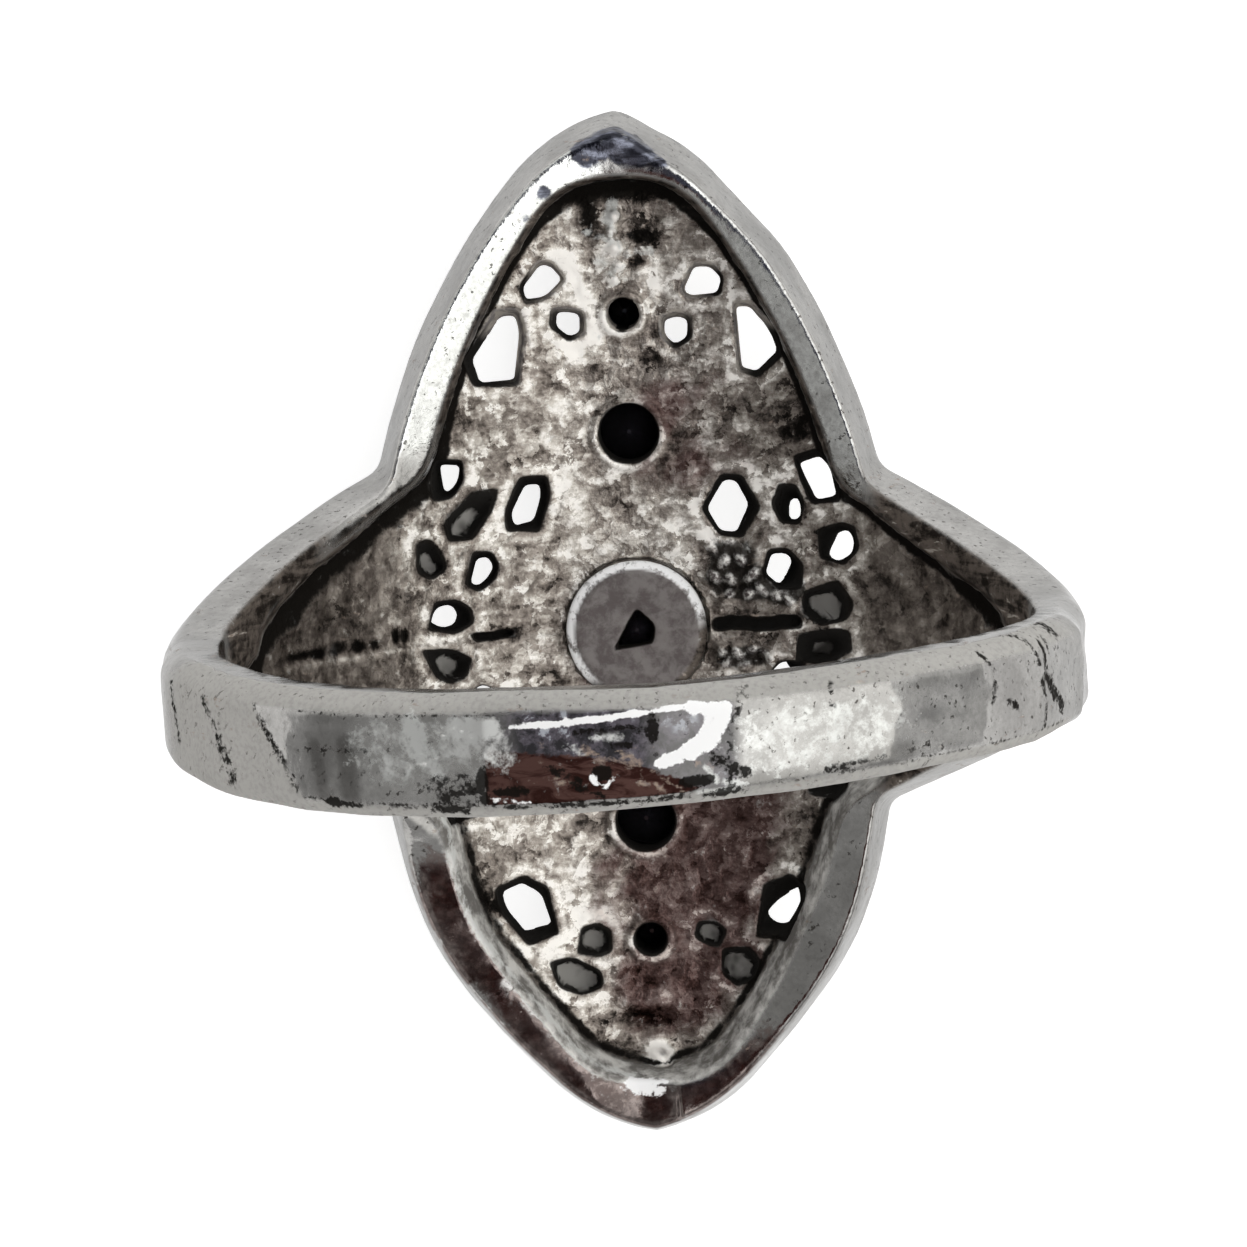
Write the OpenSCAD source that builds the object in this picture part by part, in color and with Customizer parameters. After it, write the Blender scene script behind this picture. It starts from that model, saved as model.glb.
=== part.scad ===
// Shield ring with a long pointed oval head, pierced plate and open tapering shoulders.
// Millimetres. The finger passes along Y, and X runs across the shank.
// The head hangs below, at negative Z, because the ring lies on its face.
// The origin is the centre of the finger hole.

/* [Finger hole] */
// Diameter of the finger hole
bore_d = 17.3; // [16.9:0.1:17.7]

/* [Shank] */
// Thickness of the shank opposite the head
shank_t = 1.3; // [1.1:0.05:1.6]
// Thickness of the shank at both sides
side_t = 1.2; // [1.1:0.05:1.3]
// Width of the shank opposite the head
shank_w = 2.4; // [2:0.1:2.8]
// Width of the shank at both sides
side_w = 2.3; // [2:0.1:2.6]
// Bevel along the two outer edges of the shank
bevel = 0.26; // [0.1:0.02:0.4]
// How far wear has bent the bottom of the shank towards the lower tip
bend = 0.35; // [0:0.05:0.6]
// How far wear has twisted the shank about the head, in degrees
twist = 2.6; // [0:0.2:3]

/* [Head] */
// Length of the head from tip to tip
head_len = 23.4; // [22.6:0.1:24]
// Width that the two curved sides of the head would have if they met no shoulders
head_w = 12.8; // [12.4:0.1:13]
// Radius of each curved side of the head
side_r = 15.1; // [14.8:0.1:15.4]
// Height of the face of the head above the finger hole
head_rise = 2.1; // [2:0.05:2.3]
// Thickness of the pierced plate
plate_t = 0.95; // [0.8:0.05:1.1]
// Width of the rim around the recess, with its sloping wall
rim_w = 1.4; // [1.2:0.05:1.5]
// How much wider that rim is at the two tips
tip_rim = 0.2; // [0.1:0.05:0.4]
// Slope of the head's outer wall, as its lean for each millimetre of height
wall_slope = 0.2; // [0.1:0.01:0.22]
// Half the width of each shoulder where it leaves the head
shoulder_half = 3.75; // [3.5:0.05:4]

/* [Stones] */
// Diameter of the centre stone
main_d = 4.4; // [4:0.1:4.6]
// Diameter of the stones above and below it
upper_d = 2.5; // [2.2:0.1:2.6]
// Diameter of the small stones near the tips
small_d = 1.3; // [1.1:0.05:1.4]
// Distance of the upper and lower stones from the centre
upper_y = 4.42; // [4.35:0.01:4.5]
// Distance of the small stones from the centre
small_y = 7.12; // [7.05:0.01:7.2]
// Height of the stones' tables above the face of the head
table_rise = 1.15; // [1:0.05:1.3]
// Gap between a stone and its bezel
stone_gap = 0.04; // [0.03:0.01:0.06]

/* [Back of the plate] */
// Diameter of the raised collet disc behind the centre stone
collet_d = 3.17; // [3:0.05:3.4]
// How far the collet disc stands above the plate
collet_h = 0.7; // [0.5:0.05:0.8]
// Size of the triangular hole in the collet disc, from its centre to a corner
triangle_r = 0.62; // [0.5:0.02:0.7]
// Diameter of the holes behind the upper and lower stones
upper_hole_d = 1.32; // [1.1:0.02:1.5]
// Diameter of the holes behind the small stones
small_hole_d = 0.72; // [0.6:0.02:0.8]

/* [Hidden] */
$fn = 96;

bore_r = bore_d / 2;
side_outer_r = bore_r + side_t;
tip_r = head_len / 2;

// The face and the back of the plate are round about one axis, which lies below the finger axis
face_z = -(bore_r + head_rise);
face_drop = (face_z * face_z - side_outer_r * side_outer_r) / (-2 * face_z);
face_r = -face_z - face_drop;
plate_back_r = face_r - plate_t;
plate_back_z = -face_drop - plate_back_r;

// Each curved side of the head is an arc about a point on the other side of the middle
arc_x = side_r - head_w / 2;
// The head is shaped between these heights, and tools that cut through it reach past them
head_low = face_z - 0.1;
head_high = -bore_r * 0.6;
head_span = head_high - head_low;
past = 1;

// The shank and shoulders are swept round the finger, from one side of the head to the other.
// They stay inside the head's own surfaces by inlay, and reach into the finger hole by trim.
sweep_from = -63;
sweep_to = 243;
sweep_steps = 72;
inlay = 0.05;
trim = 0.4;
shoulder_root = shoulder_half + 0.55;
shoulder_curve = 1.6;

// Stones, as shares of their diameter
table_share = 0.58;
pavilion_share = 0.42;
girdle_t = 0.08;
culet_r = 0.05;
table_z = face_z - table_rise;
bezel_lip = 0.16;
// The bezels start inside the plate
bezel_root_z = (face_z + plate_back_z) / 2 + 0.25;
collet_bevel = 0.16;
seam_slit_depth = 0.3;

// Columns: distance along Y, diameter, crown height, bezel wall, hole behind the stone
MAIN = [0, main_d, 0.62, 0.4, 0.5];
UPPER = [upper_y, upper_d, 0.42, 0.36, upper_hole_d];
LOWER = [-upper_y, upper_d, 0.42, 0.36, upper_hole_d];
UPPER_SMALL = [small_y, small_d, 0.26, 0.26, small_hole_d];
LOWER_SMALL = [-small_y, small_d, 0.26, 0.26, small_hole_d];
SETTINGS = [MAIN, UPPER, LOWER, UPPER_SMALL, LOWER_SMALL];

// Piercings of one quarter of the plate, which the other quarters mirror.
// Columns: distance along X, distance along Y, half length, half width, lean in degrees
PIERCINGS = [
    [1.85, 7.85, 0.42, 0.34, 40],
    [1.27, 6.90, 0.34, 0.29, 0],
    [2.88, 6.37, 0.76, 0.43, 15],
    [4.06, 3.50, 0.48, 0.35, 12],
    [3.56, 2.66, 0.60, 0.29, 32],
    [2.30, 2.82, 0.58, 0.42, 12],
    [4.56, 1.86, 0.42, 0.35, 10],
    [3.40, 1.40, 0.40, 0.34, 10],
    [4.25, 0.57, 0.50, 0.32, 86]
];

// Recess of one half shoulder. Columns: distance along X, half width
SHOULDER_RECESS = [
    [0, 3.9],
    [4.4, 3.8],
    [6.5, 2.5],
    [8.0, 1.2],
    [8.3, 0.5]
];

// Radius of the face, measured from the finger axis, at a sweep angle below zero
function face_radius(a) =
    -face_drop * sin(a) + sqrt(face_r * face_r - pow(face_drop * cos(a), 2));

// Sweep angle as seen from the nearer side of the ring: negative on the head's half
function near_angle(a) = a > 90 ? 180 - a : a;

function sweep_radius(a) =
    near_angle(a) < 0
        ? face_radius(near_angle(a)) - inlay
        : side_outer_r - inlay + (shank_t - side_t + inlay) * sin(near_angle(a));

function sweep_half(a) =
    near_angle(a) < 0
        ? side_w / 2 + (shoulder_root - side_w / 2) * pow(near_angle(a) / sweep_from, shoulder_curve)
        : side_w / 2 + (shank_w - side_w) / 2 * sin(near_angle(a));

function sweep_middle(a) = sin(a) * bore_r * cos(a) * tan(twist) - max(sin(a), 0) * bend;

// One cross-section of the sweep. Its inner side is cut off later by the finger hole.
function sweep_section(a) =
    let (
        inner = bore_r - trim,
        outer = sweep_radius(a),
        half = sweep_half(a),
        corners = [
            [inner, -half],
            [outer - bevel, -half],
            [outer, -half + bevel],
            [outer, half - bevel],
            [outer - bevel, half],
            [inner, half]
        ]
    )
    [for (corner = corners) [corner[0] * cos(a), sweep_middle(a) + corner[1], corner[0] * sin(a)]];

// Triangles that skin a tube with the given number of corners and sections
function tube_faces(corners, sections) = concat(
    [[for (i = [0 : corners - 1]) i]],
    [
        for (s = [0 : sections - 2], i = [0 : corners - 1])
        let (j = (i + 1) % corners, low = s * corners, high = low + corners)
        each [[low + j, low + i, high + i], [low + j, high + i, high + j]]
    ],
    [[for (i = [corners - 1 : -1 : 0]) (sections - 1) * corners + i]]
);

// Angle round the finger of a point on the back of the plate, from its distance along X
function plate_angle(x) = atan2(x, face_drop + sqrt(plate_back_r * plate_back_r - x * x));

module shank_and_shoulders() {
    points = [
        for (s = [0 : sweep_steps])
        each sweep_section(sweep_from + (sweep_to - sweep_from) * s / sweep_steps)
    ];
    polyhedron(points, tube_faces(6, sweep_steps + 1), convexity = 6);
}

// Round body about the Y axis, as wide as the head is long, with its axis at face_drop
module round_about_plate_axis(r) {
    translate([0, tip_r + past, -face_drop])
        rotate([90, 0, 0])
            cylinder(h = 2 * (tip_r + past), r = r);
}

// Pointed oval between two curved sides and a rounded tip at each end, leaning in as it rises
module pointed_oval(side, tip, slope) {
    lean = slope * head_span;
    intersection() {
        translate([arc_x, 0, head_low])
            cylinder(h = head_span, r1 = side, r2 = side - lean);
        translate([-arc_x, 0, head_low])
            cylinder(h = head_span, r1 = side, r2 = side - lean);
        translate([0, 0, head_low])
            cylinder(h = head_span, r1 = tip, r2 = tip - lean);
    }
}

module head_block() {
    intersection() {
        pointed_oval(side_r, tip_r, wall_slope);
        round_about_plate_axis(face_r);
    }
}

module shoulder_recess() {
    upper = [for (row = SHOULDER_RECESS) [row[0], row[1]]];
    lower = [for (i = [len(upper) - 1 : -1 : 0]) [upper[i][0], -upper[i][1]]];
    for (turn = [0, 180])
        rotate(turn)
            translate([0, 0, head_low])
                linear_extrude(-head_low)
                    polygon(concat(upper, lower));
}

// Space behind the plate that is open to the finger
module recess() {
    intersection() {
        union() {
            pointed_oval(side_r - rim_w, tip_r - rim_w - tip_rim, 0);
            shoulder_recess();
        }
        round_about_plate_axis(plate_back_r);
    }
}

module slot_outline(half_length, half_width) {
    run = half_length - half_width;
    square([2 * half_width, 2 * run], center = true);
    for (end = [-run, run])
        translate([0, end])
            circle(half_width);
}

// Slot cut along a line from the finger axis, from the height low to the height high above that axis
module radial_slot(x, y, half_length, half_width, lean, low, high) {
    translate([0, y, 0])
        rotate([0, -sign(x) * plate_angle(abs(x)), 0])
            translate([0, 0, -high])
                linear_extrude(high - low)
                    rotate(lean)
                        slot_outline(half_length, half_width);
}

module piercings() {
    for (p = PIERCINGS, side = [-1, 1], half = [-1, 1])
        radial_slot(
            side * p[0], half * p[1], p[2], p[3], side * half * p[4],
            bore_r + 0.1, -face_z + past
        );
}

// Blind slits along the seam that crosses the middle of the plate
module seam_slits() {
    for (side = [-1, 1])
        radial_slot(side * 2.65, 0, 0.95, 0.12, 90, bore_r, -plate_back_z - 0.35 + seam_slit_depth);
}

module bezels() {
    for (s = SETTINGS) {
        top_z = table_z + s[2] - bezel_lip;
        translate([0, s[0], top_z])
            cylinder(h = bezel_root_z - top_z, r = s[1] / 2 + s[3]);
    }
}

// Room for a stone: a cone over its crown, a ring at its girdle, a cone round its pavilion
module stone_room(s) {
    girdle_z = table_z + s[2];
    room_r = s[1] / 2 + stone_gap;
    crown_rise = (1 - table_share) * s[1] / 2;
    pavilion = pavilion_share * s[1];
    translate([0, s[0], table_z])
        cylinder(h = s[2], r1 = room_r - crown_rise, r2 = room_r);
    translate([0, s[0], girdle_z])
        cylinder(h = girdle_t, r = room_r);
    translate([0, s[0], girdle_z + girdle_t])
        cylinder(h = pavilion, r1 = room_r, r2 = culet_r + stone_gap);
}

// Hole from the back of the plate into the room of a stone
module back_hole(s) {
    translate([0, s[0], table_z + s[2] + girdle_t + pavilion_share * s[1] / 2])
        cylinder(h = plate_back_z + past - (table_z + s[2]), r = s[4] / 2);
}

module collet_disc() {
    straight = collet_h - collet_bevel;
    translate([0, 0, bezel_root_z])
        cylinder(h = plate_back_z + straight - bezel_root_z, d = collet_d);
    translate([0, 0, plate_back_z + straight])
        cylinder(h = collet_bevel, d1 = collet_d, d2 = collet_d - 2 * collet_bevel);
}

module triangle_hole() {
    translate([-0.05, 0, plate_back_z - 0.4])
        rotate([0, 0, 85])
            cylinder(h = collet_h + past, r = triangle_r, $fn = 3);
}

module finger_hole() {
    translate([0, tip_r + past, 0])
        rotate([90, 0, 0])
            cylinder(h = 2 * (tip_r + past), r = bore_r);
}

module ring_body() {
    color([0.62, 0.61, 0.6])
        difference() {
            union() {
                difference() {
                    union() {
                        head_block();
                        shank_and_shoulders();
                    }
                    recess();
                }
                bezels();
                collet_disc();
            }
            finger_hole();
            piercings();
            seam_slits();
            for (s = SETTINGS)
                stone_room(s);
            for (s = [UPPER, LOWER, UPPER_SMALL, LOWER_SMALL])
                back_hole(s);
            triangle_hole();
        }
}

// Round cut stone with its table down: eight main facets, a sixteen-sided girdle, a pointed back
module cut_stone(s) {
    r = s[1] / 2;
    girdle_z = table_z + s[2];
    color([0.05, 0.05, 0.06])
        translate([0, s[0], 0])
            hull() {
                translate([0, 0, table_z])
                    rotate(22.5)
                        cylinder(h = 0.01, r = table_share * r, $fn = 8);
                translate([0, 0, girdle_z])
                    cylinder(h = girdle_t, r = r, $fn = 16);
                translate([0, 0, girdle_z + girdle_t + 0.55 * pavilion_share * s[1]])
                    cylinder(h = 0.01, r = 0.42 * r, $fn = 8);
                translate([0, 0, girdle_z + girdle_t + pavilion_share * s[1] - 0.01])
                    cylinder(h = 0.01, r = culet_r, $fn = 8);
            }
}

module main_stone() {
    cut_stone(MAIN);
}

module upper_stone() {
    cut_stone(UPPER);
}

module lower_stone() {
    cut_stone(LOWER);
}

module upper_small_stone() {
    cut_stone(UPPER_SMALL);
}

module lower_small_stone() {
    cut_stone(LOWER_SMALL);
}

ring_body();
main_stone();
upper_stone();
lower_stone();
upper_small_stone();
lower_small_stone();
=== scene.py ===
import math

import bpy
import numpy as np
from numpy import clip, hypot, maximum, minimum
from mathutils import Matrix, Vector, noise


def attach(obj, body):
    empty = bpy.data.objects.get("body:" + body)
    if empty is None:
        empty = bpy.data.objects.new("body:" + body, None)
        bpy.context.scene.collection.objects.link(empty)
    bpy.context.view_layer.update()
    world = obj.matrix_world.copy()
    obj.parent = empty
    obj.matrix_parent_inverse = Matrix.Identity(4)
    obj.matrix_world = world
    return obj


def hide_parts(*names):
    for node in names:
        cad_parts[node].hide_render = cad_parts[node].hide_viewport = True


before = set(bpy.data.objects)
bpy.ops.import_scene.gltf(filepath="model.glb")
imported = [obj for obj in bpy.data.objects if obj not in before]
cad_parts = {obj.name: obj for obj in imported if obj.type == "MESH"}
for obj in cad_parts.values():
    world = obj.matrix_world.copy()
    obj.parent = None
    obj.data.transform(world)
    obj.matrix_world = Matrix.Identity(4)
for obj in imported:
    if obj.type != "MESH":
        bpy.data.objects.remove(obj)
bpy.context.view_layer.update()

# Shield ring seen from behind, lying on its face. Sizes are in millimetres until MM turns them into
# metres. The finger passes along Y, X runs across the shank and the head is at negative Z, as in the
# part's source, whose names and values the first block repeats
MM = 0.001
BORE_R = 8.65
SIDE_T = 1.2
SHANK_T = 1.3
SIDE_W = 2.3
SHANK_W = 2.4
BEVEL = 0.26
BEND = 0.35
TWIST = math.radians(2.6)
HEAD_LEN = 23.4
HEAD_W = 12.8
SIDE_R = 15.1
HEAD_RISE = 2.1
PLATE_T = 0.95
WALL_SLOPE = 0.2
SHOULDER_ROOT = 4.3
SHOULDER_CURVE = 1.6
ROOT_ANGLE = math.radians(63)
COLLET_D = 3.17
COLLET_H = 0.7
TABLE_RISE = 1.15
STONE_GAP = 0.04
TABLE_SHARE = 0.58
PAVILION_SHARE = 0.42
GIRDLE_T = 0.08
BEZEL_LIP = 0.16

SIDE_OUTER_R = BORE_R + SIDE_T
TIP_R = HEAD_LEN / 2
FACE_Z = -(BORE_R + HEAD_RISE)
FACE_DROP = (FACE_Z ** 2 - SIDE_OUTER_R ** 2) / (-2 * FACE_Z)
FACE_R = -FACE_Z - FACE_DROP
PLATE_R = FACE_R - PLATE_T
PLATE_Z = -FACE_DROP - PLATE_R
ARC_X = SIDE_R - HEAD_W / 2
HEAD_LOW = FACE_Z - 0.1
HEAD_HIGH = -BORE_R * 0.4
TABLE_Z = FACE_Z - TABLE_RISE

# Stones. Columns: distance along Y, diameter, crown height, bezel wall, hole behind the stone
SETTINGS = [
    (0, 4.4, 0.62, 0.4, 0),
    (4.42, 2.5, 0.42, 0.36, 1.32),
    (-4.42, 2.5, 0.42, 0.36, 1.32),
    (7.12, 1.3, 0.26, 0.26, 0.72),
    (-7.12, 1.3, 0.26, 0.26, 0.72),
]

# Piercings of the plate. Columns: 1 if the hole is cut again, mirrored, below the shank; 1 if a grey
# web closes it, a sheet that stands in for the shade seen through the hole; its mouth on the back of
# the plate; its narrower far end. Both outlines are corners in pixels of the photograph, x and y by
# turns, clockwise
PIERCINGS = [
    (0, 0, (538, 261, 551, 261, 565, 279, 546, 299, 526, 303, 519, 288),
     (540, 265, 550, 266, 561, 279, 545, 296, 526, 299, 523, 287)),
    (0, 0, (693, 263, 712, 263, 723, 277, 720, 294, 689, 298, 680, 290),
     (694, 267, 710, 267, 721, 278, 717, 292, 690, 295, 684, 290)),
    (0, 0, (552, 309, 568, 307, 584, 312, 585, 333, 569, 341, 550, 326),
     (557, 313, 568, 311, 579, 315, 579, 332, 569, 336, 556, 326)),
    (0, 0, (660, 316, 678, 310, 691, 316, 691, 338, 675, 348, 660, 336),
     (665, 320, 678, 316, 687, 320, 686, 337, 675, 343, 665, 334)),
    (0, 0, (495, 309, 518, 309, 525, 330, 518, 385, 474, 386, 462, 362),
     (500, 317, 514, 316, 519, 330, 514, 379, 481, 382, 473, 360)),
    (0, 0, (734, 302, 752, 302, 776, 330, 783, 354, 758, 377, 738, 369),
     (736, 307, 749, 306, 769, 329, 777, 350, 757, 371, 742, 367)),
    (1, 0, (435, 460, 462, 461, 463, 482, 451, 498, 433, 501, 429, 480),
     (438, 465, 459, 466, 458, 480, 450, 491, 442, 491, 441, 478)),
    (1, 0, (794, 456, 818, 449, 834, 465, 840, 500, 812, 503, 802, 484),
     (799, 463, 820, 456, 830, 467, 836, 495, 817, 499, 807, 481)),
    (1, 1, (473, 491, 497, 489, 494, 506, 473, 539, 449, 541, 444, 522),
     (467, 510, 475, 511, 475, 520, 459, 535, 452, 535, 452, 527)),
    (1, 0, (520, 478, 546, 476, 550, 495, 539, 531, 507, 530, 505, 512),
     (525, 485, 539, 484, 541, 495, 533, 520, 515, 525, 511, 514)),
    (1, 0, (721, 475, 741, 475, 760, 506, 742, 537, 720, 534, 702, 508),
     (724, 480, 736, 481, 748, 504, 736, 531, 721, 530, 708, 508)),
    (1, 0, (779, 484, 795, 485, 804, 504, 799, 523, 781, 522, 772, 504),
     (792, 499, 797, 498, 801, 508, 799, 518, 791, 519, 789, 509)),
    (1, 1, (417, 542, 430, 540, 444, 555, 446, 569, 431, 580, 418, 573),
     (421, 554, 427, 553, 433, 561, 438, 571, 430, 574, 421, 568)),
    (1, 0, (473, 553, 491, 552, 499, 566, 494, 581, 478, 591, 466, 585),
     (477, 559, 487, 557, 493, 566, 488, 577, 478, 585, 471, 583)),
    (1, 0, (818, 530, 838, 523, 854, 526, 859, 548, 844, 564, 820, 557),
     (839, 532, 849, 530, 855, 541, 852, 554, 838, 561, 829, 555)),
    (1, 0, (769, 550, 788, 549, 803, 566, 800, 588, 778, 588, 763, 573),
     (772, 554, 787, 554, 792, 562, 786, 574, 780, 584, 766, 573)),
    (0, 0, (435, 603, 456, 600, 471, 609, 474, 622, 456, 633, 429, 630),
     (437, 607, 450, 604, 458, 614, 453, 625, 441, 628, 429, 621)),
    (0, 1, (804, 592, 838, 580, 853, 604, 847, 619, 820, 625, 802, 613),
     (808, 598, 830, 593, 837, 598, 839, 619, 828, 620, 811, 607)),
    (0, 1, (423, 651, 455, 650, 471, 659, 466, 677, 452, 683, 437, 677),
     (437, 658, 449, 657, 456, 665, 453, 672, 446, 674, 436, 664)),
    (0, 1, (799, 635, 825, 629, 849, 631, 851, 651, 826, 664, 797, 660),
     (815, 644, 822, 642, 830, 643, 832, 648, 825, 652, 816, 650)),
    (0, 0, (496, 889, 524, 876, 547, 887, 558, 933, 529, 945, 498, 908),
     (503, 892, 522, 883, 541, 894, 551, 922, 525, 930, 506, 907)),
    (0, 0, (764, 884, 790, 874, 805, 884, 803, 910, 786, 937, 757, 937),
     (790, 892, 800, 886, 801, 906, 782, 932, 767, 915, 768, 907)),
    (0, 1, (582, 928, 598, 923, 611, 931, 611, 951, 594, 957, 578, 954),
     (586, 931, 598, 930, 605, 938, 603, 946, 590, 948, 583, 943)),
    (0, 1, (699, 922, 715, 921, 726, 930, 719, 947, 706, 944, 695, 936),
     (702, 925, 714, 924, 721, 931, 718, 939, 706, 939, 699, 933)),
    (0, 1, (723, 949, 750, 947, 761, 960, 755, 979, 738, 986, 723, 973),
     (726, 954, 738, 952, 753, 965, 749, 975, 734, 980, 726, 968)),
    (0, 1, (551, 963, 572, 957, 601, 972, 603, 985, 582, 995, 559, 986),
     (555, 966, 572, 962, 596, 974, 598, 984, 582, 990, 562, 983)),
]
# Depth and thickness of the grey webs, painted shade seen through some piercings
WEB_DEPTH = 0.55
WEB_T = 0.2

# The camera looks down at the back of the ring from these angles, as the photograph does
CAMERA_DISTANCE = 160
TILT = math.radians(6.6)
SIDE = math.radians(1.38)
ROLL = math.radians(-2.55)
PHOTO_SIZE = 1247
FOCAL_PIXELS = 7493
ORIGIN_PIXEL = (629, 678)
SENSOR = 36
CLIP = (0.001, 10)

# What a hand made of the ring: a recess a little wider at its mouth than in the source, a rim filed
# aslant at the lower left and the tip, and a shank with unlike bevels that is wider at the left
MOUTH_R = 16
MOUTH_ARC_X = 11.05
MOUTH_TIP = 10.25
RECESS_DRAFT = 0.22
RECESS_HIGH = -1
FILED_SLOPE = 0.19
TIP_LEAN = 0.14
UPPER_BEVEL = 0.36
LEFT_WIDER = 0.14
# Half width of the recess in a shoulder. Columns: distance along X, half width
SHOULDER_RECESS = [
    (0, 4), (4.3, 3.95), (5.3, 3.3), (6.2, 2.6), (7, 2.08), (7.7, 1.5), (8.07, 1), (8.2, 0.5), (8.6, 0),
]
# The right shoulder's recess lies lower and is narrower
RIGHT_SHIFT = -0.28
RIGHT_NARROW = 0.22
# Cosine of the angle at which the shoulder's outline runs, which turns a width into a distance
SHOULDER_SLANT = 0.78
# The round outside the shank on which its marks are drawn
MARK_R = 9.9

# Radii of the fillets and of the sharper edges of the metal, and a distance that counts as far
FILLET = 0.16
EDGE = 0.08
FAR = 9.0

# Grid step of the metal's mesh, steps in a block, and the triangles that the mesh is brought down to
STEP = 0.08
BLOCK = 8
TRIANGLES = 196000


def smin(a, b, k):
    """The lower of two distances, with a fillet about as wide as k where they meet."""
    h = clip(0.5 + 0.5 * (b - a) / k, 0, 1)
    return b + (a - b) * h - k * h * (1 - h)


def smax(a, b, k):
    return -smin(-a, -b, k)


def ease(low, high, value):
    """A soft step from zero at low to one at high."""
    t = clip((value - low) / (high - low), 0, 1)
    return t * t * (3 - 2 * t)


def bump(distance, width):
    """One at no distance, falling off over about the width."""
    return np.exp(-(distance / width) ** 2)


def face_radius(near):
    """Radius of the face from the finger axis, at an angle below zero."""
    return -FACE_DROP * np.sin(near) + np.sqrt(FACE_R ** 2 - (FACE_DROP * np.cos(near)) ** 2)


def over_plate(x, z):
    return hypot(x, z + FACE_DROP) - PLATE_R


def oval(x, y, side, arc, tip, corner):
    """Pointed oval between two arcs, with its two ends rounded."""
    sides = hypot(np.abs(x) + arc, y) - side
    return smax(sides, hypot(x, y) - tip, corner)


def head(x, y, z):
    """Outline of the head, its outer wall and its face."""
    lean = WALL_SLOPE * (z - HEAD_LOW)
    uneven = 0.3 * bump(y + 6.9, 2.4) - 0.17 * ease(0, 1, x) * ease(8.2, 10.2, y)
    wall = oval(x + 0.06, y, SIDE_R + 0.12, ARC_X, TIP_R + 0.1, 1.1) + lean - uneven
    face = hypot(x, z + FACE_DROP) - FACE_R
    solid = smax(wall / hypot(1, WALL_SLOPE), face, 0.18)
    return maximum(solid, z - HEAD_HIGH)


def filed_flat(x, y, z):
    """The rim's back at the lower left and the tip, which falls away from the recess."""
    reach = hypot(x - MOUTH_ARC_X, y)
    edge_x = MOUTH_ARC_X + MOUTH_R * (x - MOUTH_ARC_X) / maximum(reach, 1)
    edge_z = -np.sqrt(clip(BORE_R ** 2 - edge_x ** 2, 1, None))
    outward = oval(x, y, MOUTH_R, MOUTH_ARC_X, MOUTH_TIP, 0.7)
    at_tip = ease(-8.8, -10.2, y)
    here = ease(-0.2 + 1.6 * at_tip, -1.2 + 1.6 * at_tip, x) * ease(-6.6, -5.4, x)
    lean = -TIP_LEAN * (x - 0.9) * at_tip * ease(-1.5, -0.2, x)
    above = z - edge_z + FILED_SLOPE * outward + lean
    return minimum(above - 6 * (1 - here) - 1.5 * ease(-5.0, -2.2, y), -5.2 - z)


def band_faces(x, y, z):
    """Distances to the outer round of the shank and to its sides, and the place of its middle."""
    near = np.arctan2(z, np.abs(x))
    turn = np.arctan2(z, x)
    on_head = near < 0
    outer = np.where(on_head, face_radius(near), SIDE_OUTER_R + (SHANK_T - SIDE_T) * np.sin(near))
    outer = outer - facet_depth(turn, y)
    flare = clip(-near / ROOT_ANGLE, 0, 1.4) ** SHOULDER_CURVE
    widening = (SHANK_W - SIDE_W) / 2 * np.sin(near)
    half = SIDE_W / 2 + np.where(on_head, (SHOULDER_ROOT - SIDE_W / 2) * flare, widening)
    drop = BEND * clip(np.sin(turn), 0, 1)
    middle = np.sin(turn) * np.cos(turn) * BORE_R * math.tan(TWIST) - drop
    half = half + LEFT_WIDER * (y > middle) * ease(1.5, -2.5, x) * ease(1, 4, z)
    return hypot(x, z) - outer, np.abs(y - middle) - half, middle


def band(x, y, z):
    """Shank and shoulders: flat outside, with a bevel along each edge."""
    top, side, middle = band_faces(x, y, z)
    bevel = (top + side + np.where(y > middle, UPPER_BEVEL, BEVEL)) / math.sqrt(2)
    return smax(smax(top, side, 0.1), bevel, 0.14)


# Flats that a file left on the shank. Columns: the share that wear has left of them, and the angles
# of the edges between them, in degrees from +X
FLATS = [(0.9, [-7, 10, 29, 41, 56, 65]), (0.3, [106, 124, 134, 148, 166])]


def facet_depth(turn, y):
    """How far each filed flat lies under the round of the shank, and the wear at its right end."""
    angle = np.degrees(turn) + 0.8 * np.sin(4.1 * y + 1) + 0.4 * np.sin(9.7 * y)
    depth = 0.1 * bump(angle - 6, 18) - 0.1 * bump(np.abs(angle) - 178, 16)
    for left_over, edges in FLATS:
        for low, high in zip(edges, edges[1:]):
            inside = (angle > low) & (angle < high)
            half = math.radians(high - low) / 2
            off = clip(np.radians(angle) - math.radians(high + low) / 2, -half, half)
            flat = SIDE_OUTER_R * (1 - math.cos(half) / np.cos(off))
            depth += np.where(inside, left_over * flat, 0)
    return depth


def shoulder_outline(x, y):
    """About the distance in the plane to the recess of the shoulders."""
    half = np.interp(np.abs(x), *zip(*SHOULDER_RECESS))
    onset = ease(2.5, 4.6, np.abs(x)) * (x > 0)
    half = half - RIGHT_NARROW * onset * ease(8.2, 7, np.abs(x))
    return (np.abs(y - RIGHT_SHIFT * onset) - half) * SHOULDER_SLANT


def mouth(x, y):
    """Distance in the plane to the edge of the recess."""
    wide = 0.33 * ease(0, -1.5, x) * bump(y + 6.3, 1.8)
    main = oval(x, y, MOUTH_R, MOUTH_ARC_X, MOUTH_TIP, 0.7) - wide
    return smin(main, shoulder_outline(x, y), 0.35)


def recess(x, y, z):
    """Space behind the plate, open to the finger."""
    floor = over_plate(x, z) + relief(x, y)
    return smax(smax(recess_wall(x, y, z), floor, 0.2), z - RECESS_HIGH, 0.3)


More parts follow.
